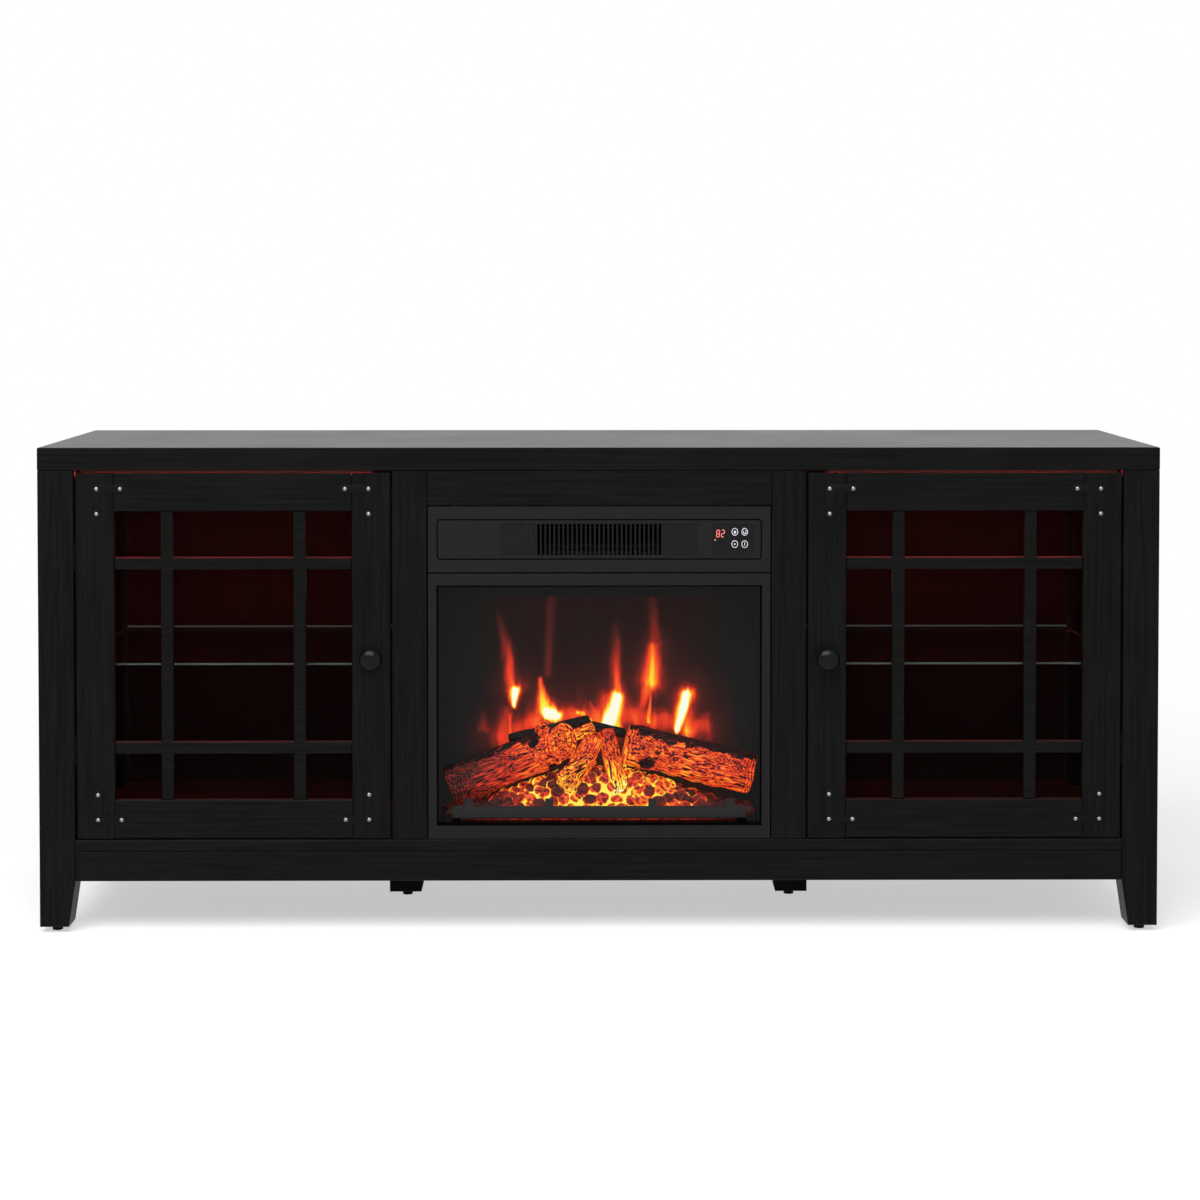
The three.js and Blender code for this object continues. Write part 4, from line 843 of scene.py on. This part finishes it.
def door_corners(side):
    """The stud in each door corner with the way to the middle of the door, across and up."""
    low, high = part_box(side + "_door_hinge_stile")
    near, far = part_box(side + "_door_latch_stile")
    left, right = min(low.x, near.x) + STUD_INSET, max(high.x, far.x) - STUD_INSET
    bottom, top = low.z + STUD_LIFT, high.z - STUD_DROP
    return (left, bottom, 1, 1), (right, bottom, -1, 1), (left, top, 1, -1), (right, top, -1, -1)


class STAND_OT_fittings(bpy.types.Operator):
    """Fits the corner straps and their domed studs to both doors"""

    bl_idname = "stand.fittings"
    bl_label = "Straps and studs"

    def execute(self, context):
        fitting = context.scene.stand_fitting
        black = sheet_metal_finish("strap_black", (0.0036, 0.0036, 0.0036), 0.4, 0.0, 1100.0, 0.05)
        nickel = sheet_metal_finish("stud_nickel", (0.27, 0.25, 0.235), 0.22, 1.0, 500.0, 0.5, 0.04)
        half, radius = fitting.strap / 2, fitting.stud / 2
        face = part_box("left_door_hinge_stile")[0].y
        front = face - fitting.strap_rise
        outline = [
            (-half, -half), *arc((STUD_ACROSS + STRAP_END, 0), half, -90, 90, 8),
            (half, half), *arc((0, STUD_UP + STRAP_END), half, 0, 180, 8),
        ]
        dome = [(radius, -STUD_SEAT), (radius, 0.25 * MM)]
        dome += [
            (radius * 0.94 * cosine, STUD_SEAT + (fitting.stud_rise - STUD_SEAT) * sine)
            for cosine, sine in quarter(8)[:-1]
        ]
        dome.append((0, fitting.stud_rise))
        for side in SIDES:
            straps, studs = bmesh.new(), bmesh.new()
            for x, z, across, up in door_corners(side):
                placed = [(x + across * u, z + up * w) for u, w in outline]
                if across * up < 0:
                    placed.reverse()
                add_plate(straps, placed, front, face + 0.05 * MM, 0.25 * MM)
                for u, w in ((0, 0), (STUD_ACROSS, 0), (0, STUD_UP)):
                    spot = Vector((x + across * u, front, z + up * w))
                    add_lathe(studs, dome, 24, Matrix.Translation(spot) @ OUTWARD)
            piece(side + "_corner_straps", straps, black, side + "_door")
            piece(side + "_domed_studs", studs, nickel, side + "_door", 60.0)
        return {"FINISHED"}


def knob_profile():
    """The mushroom knob from its foot to its crown, in shares of its radius and its length."""
    profile = [(0.52, 0.0), (0.52, 0.05), (0.46, 0.11)]
    neck = enumerate(quarter(6)[1:], 1)
    profile += [(0.46 - 0.1 * sine, 0.11 + 0.22 * step / 6) for step, (_, sine) in neck]
    profile += [(0.36 + 0.64 * sine, 0.63 - 0.3 * cosine) for cosine, sine in quarter(10)[1:]]
    profile += [(cosine, 0.63 + 0.37 * sine) for cosine, sine in quarter(16)[1:-1]]
    return [*profile, (0.0, 1.0)]


class STAND_OT_knobs(bpy.types.Operator):
    """Turns the two glossy mushroom knobs"""

    bl_idname = "stand.knobs"
    bl_label = "Knobs"

    def execute(self, context):
        sides = context.scene.stand_fitting.knob_sides
        finish = new_finish("knob_gloss_black")
        peel = finish.cloud(260.0, 2.0)
        rub = finish.cloud(70.0, 3.0)
        colour = finish.mix(rub, grey(0.0015), grey(0.004))
        gloss = finish.surface(colour, 0.15 + 0.08 * rub, 0.11, (peel, 0.06, 0.3 * MM))
        for side in SIDES:
            low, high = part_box(side + "_door_knob")
            radius, length = (high.x - low.x) / 2, high.y - low.y
            profile = [(radius * wide, length * out) for wide, out in knob_profile()]
            foot = Vector(((low.x + high.x) / 2, high.y, (low.z + high.z) / 2))
            shape = bmesh.new()
            add_lathe(shape, profile, sides, Matrix.Translation(foot) @ OUTWARD)
            shape.verts.ensure_lookup_table()
            bmesh.ops.contextual_create(shape, geom=shape.verts[:sides])
            knob = piece(side + "_mushroom_knob", shape, gloss, side + "_door", 50.0)
            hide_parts(side + "_door_knob")
        return {"FINISHED"}


# Trim of the fireplace

def rounded_corners(low, high, inset, radius):
    """The (x, z) points of a rounded rectangle, set in from the edges of a box."""
    left, right = low.x + inset + radius, high.x - inset - radius
    bottom, top = low.z + inset + radius, high.z - inset - radius
    corners = ((right, bottom, -90), (right, top, 0), (left, top, 90), (left, bottom, 180))
    return [spot for x, z, first in corners for spot in arc((x, z), radius, first, first + 90, 8)]


class STAND_OT_gap_shade(bpy.types.Operator):
    """Lays a thin near-black band of painted shade in the gap round the fireplace's glass"""

    bl_idname = "stand.bead"
    bl_label = "Glass bead"

    def execute(self, context):
        low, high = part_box("front_glass")
        outer = rounded_corners(low, high, GLASS_LAP, SHADE_BAND_CORNER)
        inner = rounded_corners(low, high, GLASS_LAP + SHADE_BAND_WIDTH, SHADE_BAND_CORNER - SHADE_BAND_WIDTH)
        shade_band = bmesh.new()
        add_band(shade_band, outer, inner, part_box("glass_frame")[0].y + SHADE_BAND_DEPTH, low.y)
        # Painted shade: a near-black band stands for the shade in the gap between frame and glass
        painted_gap_shade = sheet_metal_finish("gap_shade_black", (0.0008, 0.0008, 0.0008), 0.6, 0.0, 900.0, 0.01)
        piece("glass_gap_shade_band", shade_band, painted_gap_shade, "cabinet")
        return {"FINISHED"}


# Control panel

def add_segments(shape, number, left, front, back):
    """Adds one digit of a seven-segment display."""
    half = DIGIT_STROKE / 2
    wide, tall = DIGIT_WIDTH - DIGIT_STROKE, (DIGIT_HEIGHT - DIGIT_STROKE) / 2
    spots = {
        "d": (0, 0, True), "g": (0, 1, True), "a": (0, 2, True),
        "e": (0, 0, False), "f": (0, 1, False), "c": (1, 0, False), "b": (1, 1, False),
    }
    for letter in SEGMENTS[number]:
        column, row, level = spots[letter]
        x, z = left + half + column * wide, DIGIT_FOOT + half + row * tall
        run = (wide if level else tall) - DIGIT_GAP
        points = (
            (DIGIT_GAP, 0), (half, half), (run - half, half),
            (run, 0), (run - half, -half), (half, -half),
        )
        if not level:
            points = [(-w, u) for u, w in points]
        outline = [(x + u + DIGIT_LEAN * (z + w - DIGIT_FOOT), z + w) for u, w in points]
        add_plate(shape, outline, front, back)


class STAND_OT_display(bpy.types.Operator):
    """Draws the lit digits, the dot and the four touch keys on the control panel"""

    bl_idname = "stand.display"
    bl_label = "Display and keys"

    def execute(self, context):
        display = context.scene.stand_display
        finish = new_finish("panel_gloss_black")
        smear = finish.cloud(50.0, 3.0)
        colour = finish.mix(smear, grey(0.0045), grey(0.0085))
        panel = finish.surface(colour, 0.2 + 0.2 * smear, 0.08, (smear, 0.03, 0.3 * MM))
        dress(panel, "control_panel")
        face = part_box("control_panel")[0].y
        depths = (face - 0.12 * MM, face + 0.1 * MM)

        finish = new_finish("lit_digits")
        cell = finish.cloud(900.0, 1.0)
        glow = finish.mix(cell, tint(display.digits, 0.8), tint(display.digits))
        lit = finish.surface(
            grey(0.02), 0.4 + 0.1 * cell, 0.5, Emission_Color=glow, Emission_Strength=1.4,
        )
        digits = bmesh.new()
        for number, left in DIGIT_PLACES.items():
            add_segments(digits, number, left, *depths)
        add_plate(digits, disc(DOT_PLACE, 1.0 * MM), *depths)
        piece("display_digits", digits, lit, "cabinet", 30.0)

        finish = new_finish("printed_keys")
        speck = finish.cloud(1200.0, 2.0)
        colour = finish.mix(speck, tint(display.keys, 0.75), tint(display.keys))
        ink = finish.surface(colour, 0.45 + 0.1 * speck, 0.2)
        keys = bmesh.new()
        for column in KEY_COLUMNS:
            for row in KEY_ROWS:
                rims = (arc((column, row), size, 0, 351, 39) for size in (KEY_OUTER, KEY_INNER))
                add_band(keys, *rims, *depths)
        first, second = KEY_COLUMNS
        upper, lower = KEY_ROWS
        for x, z, sign in ((first, upper, FLAME_SIGN), (second, lower, BAR_SIGN)):
            add_plate(keys, [(x + u * MM, z + w * MM) for u, w in sign], *depths)
        rims = (arc((second, upper), size, *OPEN_TURN, 24) for size in OPEN_RING)
        add_band(keys, *rims, *depths, closed=False)
        add_plate(keys, disc((first, lower), 1.1 * MM), *depths)
        piece("touch_keys", keys, ink, "cabinet", 30.0)
        return {"FINISHED"}


# Fire

def fire_ramp(finish, heat):
    return finish.node("ShaderNodeValToRGB", {"Fac": heat}, stops=FIRE_STOPS)


def flame_finish():
    """Tongues of flame thrown on the screen behind the logs."""
    fire = bpy.context.scene.stand_fire
    finish = new_finish("flame_screen_lit")
    x, _, z = finish.axes()
    flutter = finish.cloud(26.0, 3.0, (1.0, 1.0, 0.45)) - 0.5
    ripple = finish.cloud(90.0, 2.0, (1.0, 1.0, 0.3)) - 0.5
    bent = finish.combine(x + flutter * 0.012 + ripple * 0.009, 0.0, z + ripple * 0.02)
    heat = None
    for foot_x, foot_z, tip_x, tip_z, foot_width, tip_width, foot_heat, tip_heat in FLAMES:
        foot = Vector((foot_x * MM, 0, foot_z * MM))
        run = Vector((tip_x * MM, 0, tip_z * MM)) - foot
        away = finish.vector("SUBTRACT", bent, tuple(foot))
        along = finish.vector("DOT_PRODUCT", away, tuple(run / run.length_squared), output="Value")
        share = finish.node("ShaderNodeClamp", {"Value": along})
        nearest = finish.vector("MULTIPLY", tuple(run), finish.combine(share, share, share))
        distance = finish.vector("DISTANCE", away, nearest, output="Value")
        ratio = distance / finish.blend(share, foot_width * MM, tip_width * MM)
        square = ratio * ratio
        core = 0.72 / (1 + square * 0.3 + square * square * 0.25)
        halo = 0.28 / (1 + square * 0.06)
        glow = finish.blend(share, foot_heat, tip_heat) * (core + halo)
        heat = glow if heat is None else finish.math("SMOOTH_MAX", heat, glow, 0.12)
    below = 1 - finish.ease(z, *FLAME_TOP)
    middle = (1 - finish.ease(abs(x - HAZE_MIDDLE), *HAZE_REACH)) * below
    low = 1 - finish.ease(z, *HAZE_HEIGHT)
    base = finish.mix(middle * (0.75 + low), tint(fire.screen), tint(fire.haze))
    streak = finish.cloud(120.0, 2.0, (1.0, 1.0, 0.07))
    lit = fire_ramp(finish, (heat - 0.1) * (0.7 + 0.76 * streak) * below)
    weave = finish.cloud(1500.0, 1.0)
    return finish.surface(
        grey(0.004), 0.7 + 0.1 * weave, 0.02,
        Emission_Color=finish.mix(1.0, base, lit, "ADD"), Emission_Strength=1.08,
    )


def log_finish():
    """Moulded resin lit from inside: glowing bark, dark cracks and a charred upper side."""
    fire = bpy.context.scene.stand_fire
    finish = new_finish("glowing_bark")
    heat, char, rim = (finish.stored(name) for name in BARK_VALUES)
    x, y, z = finish.axes()
    patch = finish.cloud(30.0, 2.0)
    fine = finish.cloud(620.0, 2.0, (1.0, 1.0, 0.4))
    curl = finish.cloud(270.0, 1.5, (1.0, 1.0, 0.6), 1.5)
    streak = finish.cloud(380.0, 1.5, (1.0, 1.0, 0.13), 0.4)
    field = finish.blend(finish.ease(patch, 0.44, 0.56), curl, streak)
    radial = finish.vector("LENGTH", finish.combine(x, y, 0.0), output="Value")
    wave = finish.math("SINE", (z + radial) * 1300.0 + patch * 14.0)
    arcs = 0.5 + 0.1 * wave + 0.5 * (streak - 0.5)
    field = finish.blend(rim, field, arcs) + (fine - 0.5) * 0.07
    groove = 1 - finish.ease(field, 0.405, 0.465)
    ridge = finish.ease(field, 0.5, 0.64)
    crust = finish.ease(finish.cloud(75.0, 5.0, distortion=0.8) + char * 0.9, 0.84, 0.97)
    warm = heat - 0.03 + 0.2 * ridge + 0.36 * (patch - 0.5)
    glow = fire_ramp(finish, warm * (1 - 0.9 * groove) * (1 - (0.96 - 0.2 * ridge) * crust))
    cold = finish.math("MAXIMUM", groove, crust)
    return finish.surface(
        finish.mix(cold, tint(fire.resin), grey(0.0015)), 0.6 + 0.2 * fine, 0.2,
        (ridge - groove, 0.8, 1.1 * MM), Emission_Color=glow, Emission_Strength=1.1,
    )


def add_log(shape, log, rings, sides, number):
    """Adds one knobbly log along local Z, with its cut ends, and returns its matrix.

    Its corners keep their warmth, with a painted glow of the embers' light low down, their charring
    and how much they belong to a cut rim.
    """
    for name in BARK_VALUES:
        shape.verts.layers.float.new(name)
    warmth, charring, rim = (shape.verts.layers.float[name] for name in BARK_VALUES)
    near, far, near_radius, far_radius, near_heat, far_heat, charred = log
    near, far = Vector(near) * MM, Vector(far) * MM
    axis = far - near
    length = axis.length
    matrix = Matrix.Translation(near) @ axis.to_track_quat("Z", "Y").to_matrix().to_4x4()
    up = matrix.to_3x3().inverted() @ Vector((0, 0, 1))
    offset = Vector((number * 7.3, number * 3.1, number * 5.7))
    rows = [(0.0, ring) for ring in END_RINGS]
    rows += [(step / rings, 1.0) for step in range(rings + 1)]
    rows += [(1.0, ring) for ring in END_RINGS[::-1]]
    loops = []
    for share, ring in rows:
        radius = (near_radius + (far_radius - near_radius) * share) * MM
        from_end = min(share, 1 - share) * length
        end = 1 - ramp(from_end, 0, END_ROUNDING)
        cut = ramp(ring, 0.55, 1.0) if ring < 1.0 else clamp(1.3 - 1.3 * from_end / CUT_REACH)
        loop = []
        for side in range(sides):
            angle = math.tau * side / sides
            turn = Vector((math.cos(angle), math.sin(angle), 0))
            spot = turn * radius * ring + Vector((0, 0, share * length))
            upness = 0.0
            if ring == 1.0:
                upness = turn.dot(up)
                lump = noise.noise(spot * 42 + offset) * 0.1
                fibres = Vector((spot.x * 150, spot.y * 150, spot.z * 55)) + offset
                bark = noise.turbulence(fibres, 3, False) - 0.5
                spot += turn * radius * (lump + 0.07 * bark - 0.07 * end * end)
            else:
                groove = math.sin(ring * 26) * 0.35 + noise.noise(spot * 180 + offset) * 0.5
                swell = ((1 - ring * ring) * 1.6 + groove) * MM
                spot.z += -swell if share == 0.0 else swell
            corner = shape.verts.new(spot)
            world = matrix @ spot
            # Painted light: the embers' light on the log's lower part is added as extra warmth
            below = max(0.0, 1 - (world.z - PAINTED_EMBER_LIGHT_FOOT) / PAINTED_EMBER_LIGHT_RISE)
            glow = 0.3 * below * max(0.0, 1 - abs(world.x) / PAINTED_EMBER_LIGHT_REACH)
            corner[warmth] = clamp(near_heat + (far_heat - near_heat) * share + glow)
            burnt = charred + 1.35 * max(0.0, upness - 0.45)
            for x, z, size in KNOTS:
                away = math.hypot(world.x - x * MM, world.z - z * MM) / (size * MM)
                burnt += 0.75 * max(0.0, 1.25 - away)
            corner[charring] = clamp(burnt)
            corner[rim] = cut if near_radius > CUT_RADIUS else 0.0
            loop.append(corner)
        loops.append(loop)
    for lower, upper in zip(loops, loops[1:]):
        bridge(shape, lower, upper)
    shape.faces.new(loops[0][::-1])
    shape.faces.new(loops[-1])
    return matrix


class STAND_OT_logs(bpy.types.Operator):
    """Moulds the glowing logs"""

    bl_idname = "stand.logs"
    bl_label = "Logs"

    def execute(self, context):
        fire = context.scene.stand_fire
        bark = log_finish()
        for number, (name, log) in enumerate(LOGS.items()):
            shape = bmesh.new()
            scale = 1.0 if number < 2 else 0.55
            rings, sides = int(fire.log_rings * scale), int(fire.log_sides * scale)
            matrix = add_log(shape, log, rings, sides, number + 1)
            piece(name, shape, bark, "cabinet", 180.0, matrix)
        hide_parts("log_set")
        return {"FINISHED"}


def coal_finish():
    """Glowing lumps, hottest where they meet."""
    finish = new_finish("glowing_coals")
    heat = finish.stored("warmth")
    x, y, z = finish.axes()
    grain = finish.cloud(230.0, 2.0, distortion=1.2)
    sway = (finish.cloud(60.0, 2.0) - 0.5) * 0.02
    edge = finish.node(
        "ShaderNodeTexVoronoi", {"Vector": finish.combine(x + sway, y, z - sway), "Scale": 68.0},
        "Distance", feature="DISTANCE_TO_EDGE",
    )
    net = 1 - finish.ease(edge, 0.05, 0.15)
    vein = 1 - finish.ease(grain, 0.41, 0.47)
    hot = finish.math("MAXIMUM", finish.ease(heat, 0.6, 0.8), net)
    glow = heat * (1 + 0.55 * (grain - 0.5)) * (1 - 0.75 * vein * (1 - hot)) + 0.5 * net * heat
    glow = finish.math("MINIMUM", glow * 1.08, 0.88)
    return finish.surface(
        finish.mix(heat, grey(0.008), grey(0.02)), 0.7 + 0.2 * grain, 0.15,
        (grain - vein * 0.5, 0.6, 1 * MM),
        Emission_Color=fire_ramp(finish, glow), Emission_Strength=1.1,
    )


def bed_height(across, back):
    """Height of the heap over the hearth, by shares of its length and its depth."""
    ridge = math.cos(math.pi * across) ** 2
    rise = math.sin(math.pi / 2 * min(1.0, (back + 0.5) / 0.7))
    return (28 + 50 * ridge * rise) * MM


def add_mound(shape, warmth, low, high):
    """Adds the uneven mound under the coals, and the hearth's edge below it."""
    centre, length, depth = (low + high) / 2, high.x - low.x, high.y - low.y
    bmesh.ops.create_grid(shape, x_segments=BED_COLUMNS, y_segments=BED_ROWS, size=0.5)
    for corner in shape.verts:
        across, back, _ = corner.co
        spot = Vector((centre.x + across * length, centre.y + back * depth, 0))
        lump = noise.noise(spot * 90) * 1.5 * MM
        spot.z = low.z + bed_height(across, back) - 3 * MM + lump
        corner.co = spot
        corner[warmth] = 0.84 * (1 - ramp(abs(across), 0.22, 0.42))
    for height, heat in HEARTH_EDGE:
        rim = [edge for edge in shape.edges if edge.is_boundary]
        for corner in bmesh.ops.extrude_edge_only(shape, edges=rim)["geom"]:
            if isinstance(corner, bmesh.types.BMVert):
                corner.co.z = low.z + height * MM
                away = abs(corner.co.x - centre.x) / length
                corner[warmth] = heat * (1 - ramp(away, 0.3, 0.5))
    bmesh.ops.edgeloop_fill(shape, edges=[edge for edge in shape.edges if edge.is_boundary])


def add_coals(shape, warmth, low, high, draw):
    """Adds rows of coals, coolest where they face the room and at the heap's ends."""
    centre, length, depth = (low + high) / 2, high.x - low.x, high.y - low.y
    floor = low.z + HEARTH_EDGE[0][0] * MM
    for row in range(COAL_ROWS):
        back = -0.46 + row * 0.13
        for column in range(COALS_IN_ROW):
            across = (column + 0.5 * (row % 2)) / COALS_IN_ROW - 0.48
            across += draw.uniform(-0.011, 0.011)
            size = draw.uniform(8.0, 11.5) * MM
            spot = Vector((
                centre.x + across * (length - 14 * MM),
                centre.y + back * depth + draw.uniform(-2, 2) * MM,
                low.z + bed_height(across, back) + draw.uniform(-5.5, -1.5) * MM,
            ))
            spot.y = max(spot.y, low.y + size * 0.7)
            angle = draw.uniform(0, math.tau)
            turn = Matrix.Rotation(angle, 3, Vector([draw.gauss(0, 1) for _ in range(3)]))
            stretch = Matrix.Diagonal([draw.uniform(*limits) for limits in COAL_STRETCH])
            cool = 1 - 0.85 * ramp(abs(across), 0.22, 0.41)
            shift = draw.choice((-0.26, -0.12, -0.05, 0.0, 0.04))
            for corner in bmesh.ops.create_icosphere(shape, subdivisions=3, radius=1.0)["verts"]:
                way = corner.co.normalized()
                rough = 1 + 0.24 * noise.noise(way * 1.5 + spot * 300)
                rough += 0.09 * noise.noise(way * 4 + spot * 300)
                corner.co = turn @ stretch @ way * size * rough + spot
                corner.co.z = max(corner.co.z, floor)
                heat = 0.92 - 0.5 * ramp((turn @ way).dot(TO_ROOM), 0.3, 0.65) + shift
                corner[warmth] = max(0.05, min(1.0, heat * cool))


class STAND_OT_embers(bpy.types.Operator):
    """Heaps the glowing coals"""

    bl_idname = "stand.embers"
    bl_label = "Embers"

    def execute(self, context):
        low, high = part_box("ember_bed")
        shape = bmesh.new()
        warmth = shape.verts.layers.float.new("warmth")
        add_mound(shape, warmth, low, high)
        add_coals(shape, warmth, low, high, random.Random(context.scene.stand_fire.seed))
        coals = piece("glowing_embers", shape, coal_finish(), "cabinet", 180.0)
        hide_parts("ember_bed")
        return {"FINISHED"}


class STAND_OT_flames(bpy.types.Operator):
    """Throws the flames on their screen"""

    bl_idname = "stand.flames"
    bl_label = "Flames"

    def execute(self, context):
        dress(flame_finish(), "flame_screen")
        return {"FINISHED"}


# Studio

class STAND_OT_studio(bpy.types.Operator):
    """Sets the white floor, the soft light and the camera"""

    bl_idname = "stand.studio"
    bl_label = "Studio"

    def execute(self, context):
        studio = context.scene.stand_studio
        scene = context.scene
        scene.view_settings.view_transform = "Standard"

        scene.world = bpy.data.worlds.new("white_room")
        finish = Finish(scene.world)
        fill = finish.blend(finish.seen(), studio.fill, 1.0)
        white = finish.node("ShaderNodeBackground", {"Color": WHITE, "Strength": fill})
        finish.node("ShaderNodeOutputWorld", {"Surface": white})

        shape = bmesh.new()
        bmesh.ops.create_grid(shape, x_segments=8, y_segments=8, size=FLOOR_REACH)
        floor = add_object("floor", mesh_of("floor", shape))
        finish = new_finish("white_floor")
        matt = finish.node("ShaderNodeBsdfDiffuse", {"Color": grey(0.95)})
        bright = finish.node("ShaderNodeEmission", {"Color": WHITE, "Strength": 1.0})
        away = finish.vector("LENGTH", finish.place, output="Value")
        lift = finish.blend(finish.ease(away, *FLOOR_FADE), studio.floor_lift, 1.0)
        both_whites = {0: finish.seen() * lift, 1: matt, 2: bright}
        mixed = finish.node("ShaderNodeMixShader", both_whites)
        finish.node("ShaderNodeOutputMaterial", {"Surface": mixed})
        floor.data.materials.append(finish.owner)

        lamp = bpy.data.lights.new("softbox", "AREA")
        lamp.shape = "RECTANGLE"
        lamp.size, lamp.size_y = LAMP_SIZE
        lamp.energy = studio.softbox
        box = add_object("softbox", lamp)
        box.location = LAMP_PLACE
        box.rotation_euler = (LAMP_AIM - box.location).to_track_quat("-Z", "Y").to_euler()

        lens = bpy.data.cameras.new("camera")
        lens.lens, lens.sensor_width, lens.shift_y = studio.lens, CAMERA_SENSOR, CAMERA_SHIFT
        camera = add_object("camera", lens)
        camera.location = CAMERA_PLACE
        camera.rotation_euler = [math.radians(turn) for turn in CAMERA_TURN]
        scene.camera = camera
        return {"FINISHED"}


OPERATORS = (
    STAND_OT_studio, STAND_OT_wood, STAND_OT_glass, STAND_OT_metal, STAND_OT_lights,
    STAND_OT_fittings, STAND_OT_knobs, STAND_OT_gap_shade, STAND_OT_display, STAND_OT_flames,
    STAND_OT_logs, STAND_OT_embers,
)


class STAND_PT_dressing(bpy.types.Panel):
    """Lists the steps that dress the stand"""

    bl_label = "TV stand"
    bl_idname = "STAND_PT_dressing"
    bl_space_type = "VIEW_3D"
    bl_region_type = "UI"
    bl_category = "TV stand"

    def draw(self, context):
        for operator in OPERATORS:
            self.layout.operator(operator.bl_idname)


SETTINGS = {
    "stand_wood": WoodSettings,
    "stand_glass": GlassSettings,
    "stand_light": LightSettings,
    "stand_fitting": FittingSettings,
    "stand_fire": FireSettings,
    "stand_display": DisplaySettings,
    "stand_studio": StudioSettings,
}


def register():
    for name, group in SETTINGS.items():
        bpy.utils.register_class(group)
        setattr(bpy.types.Scene, name, PointerProperty(type=group))
    for operator in OPERATORS:
        bpy.utils.register_class(operator)
    bpy.utils.register_class(STAND_PT_dressing)


def unregister():
    bpy.utils.unregister_class(STAND_PT_dressing)
    for operator in reversed(OPERATORS):
        bpy.utils.unregister_class(operator)
    for name, group in SETTINGS.items():
        delattr(bpy.types.Scene, name)
        bpy.utils.unregister_class(group)


def main():
    register()
    for operator in OPERATORS:
        family, step = operator.bl_idname.split(".")
        getattr(getattr(bpy.ops, family), step)()


if __name__ == "__main__":
    main()
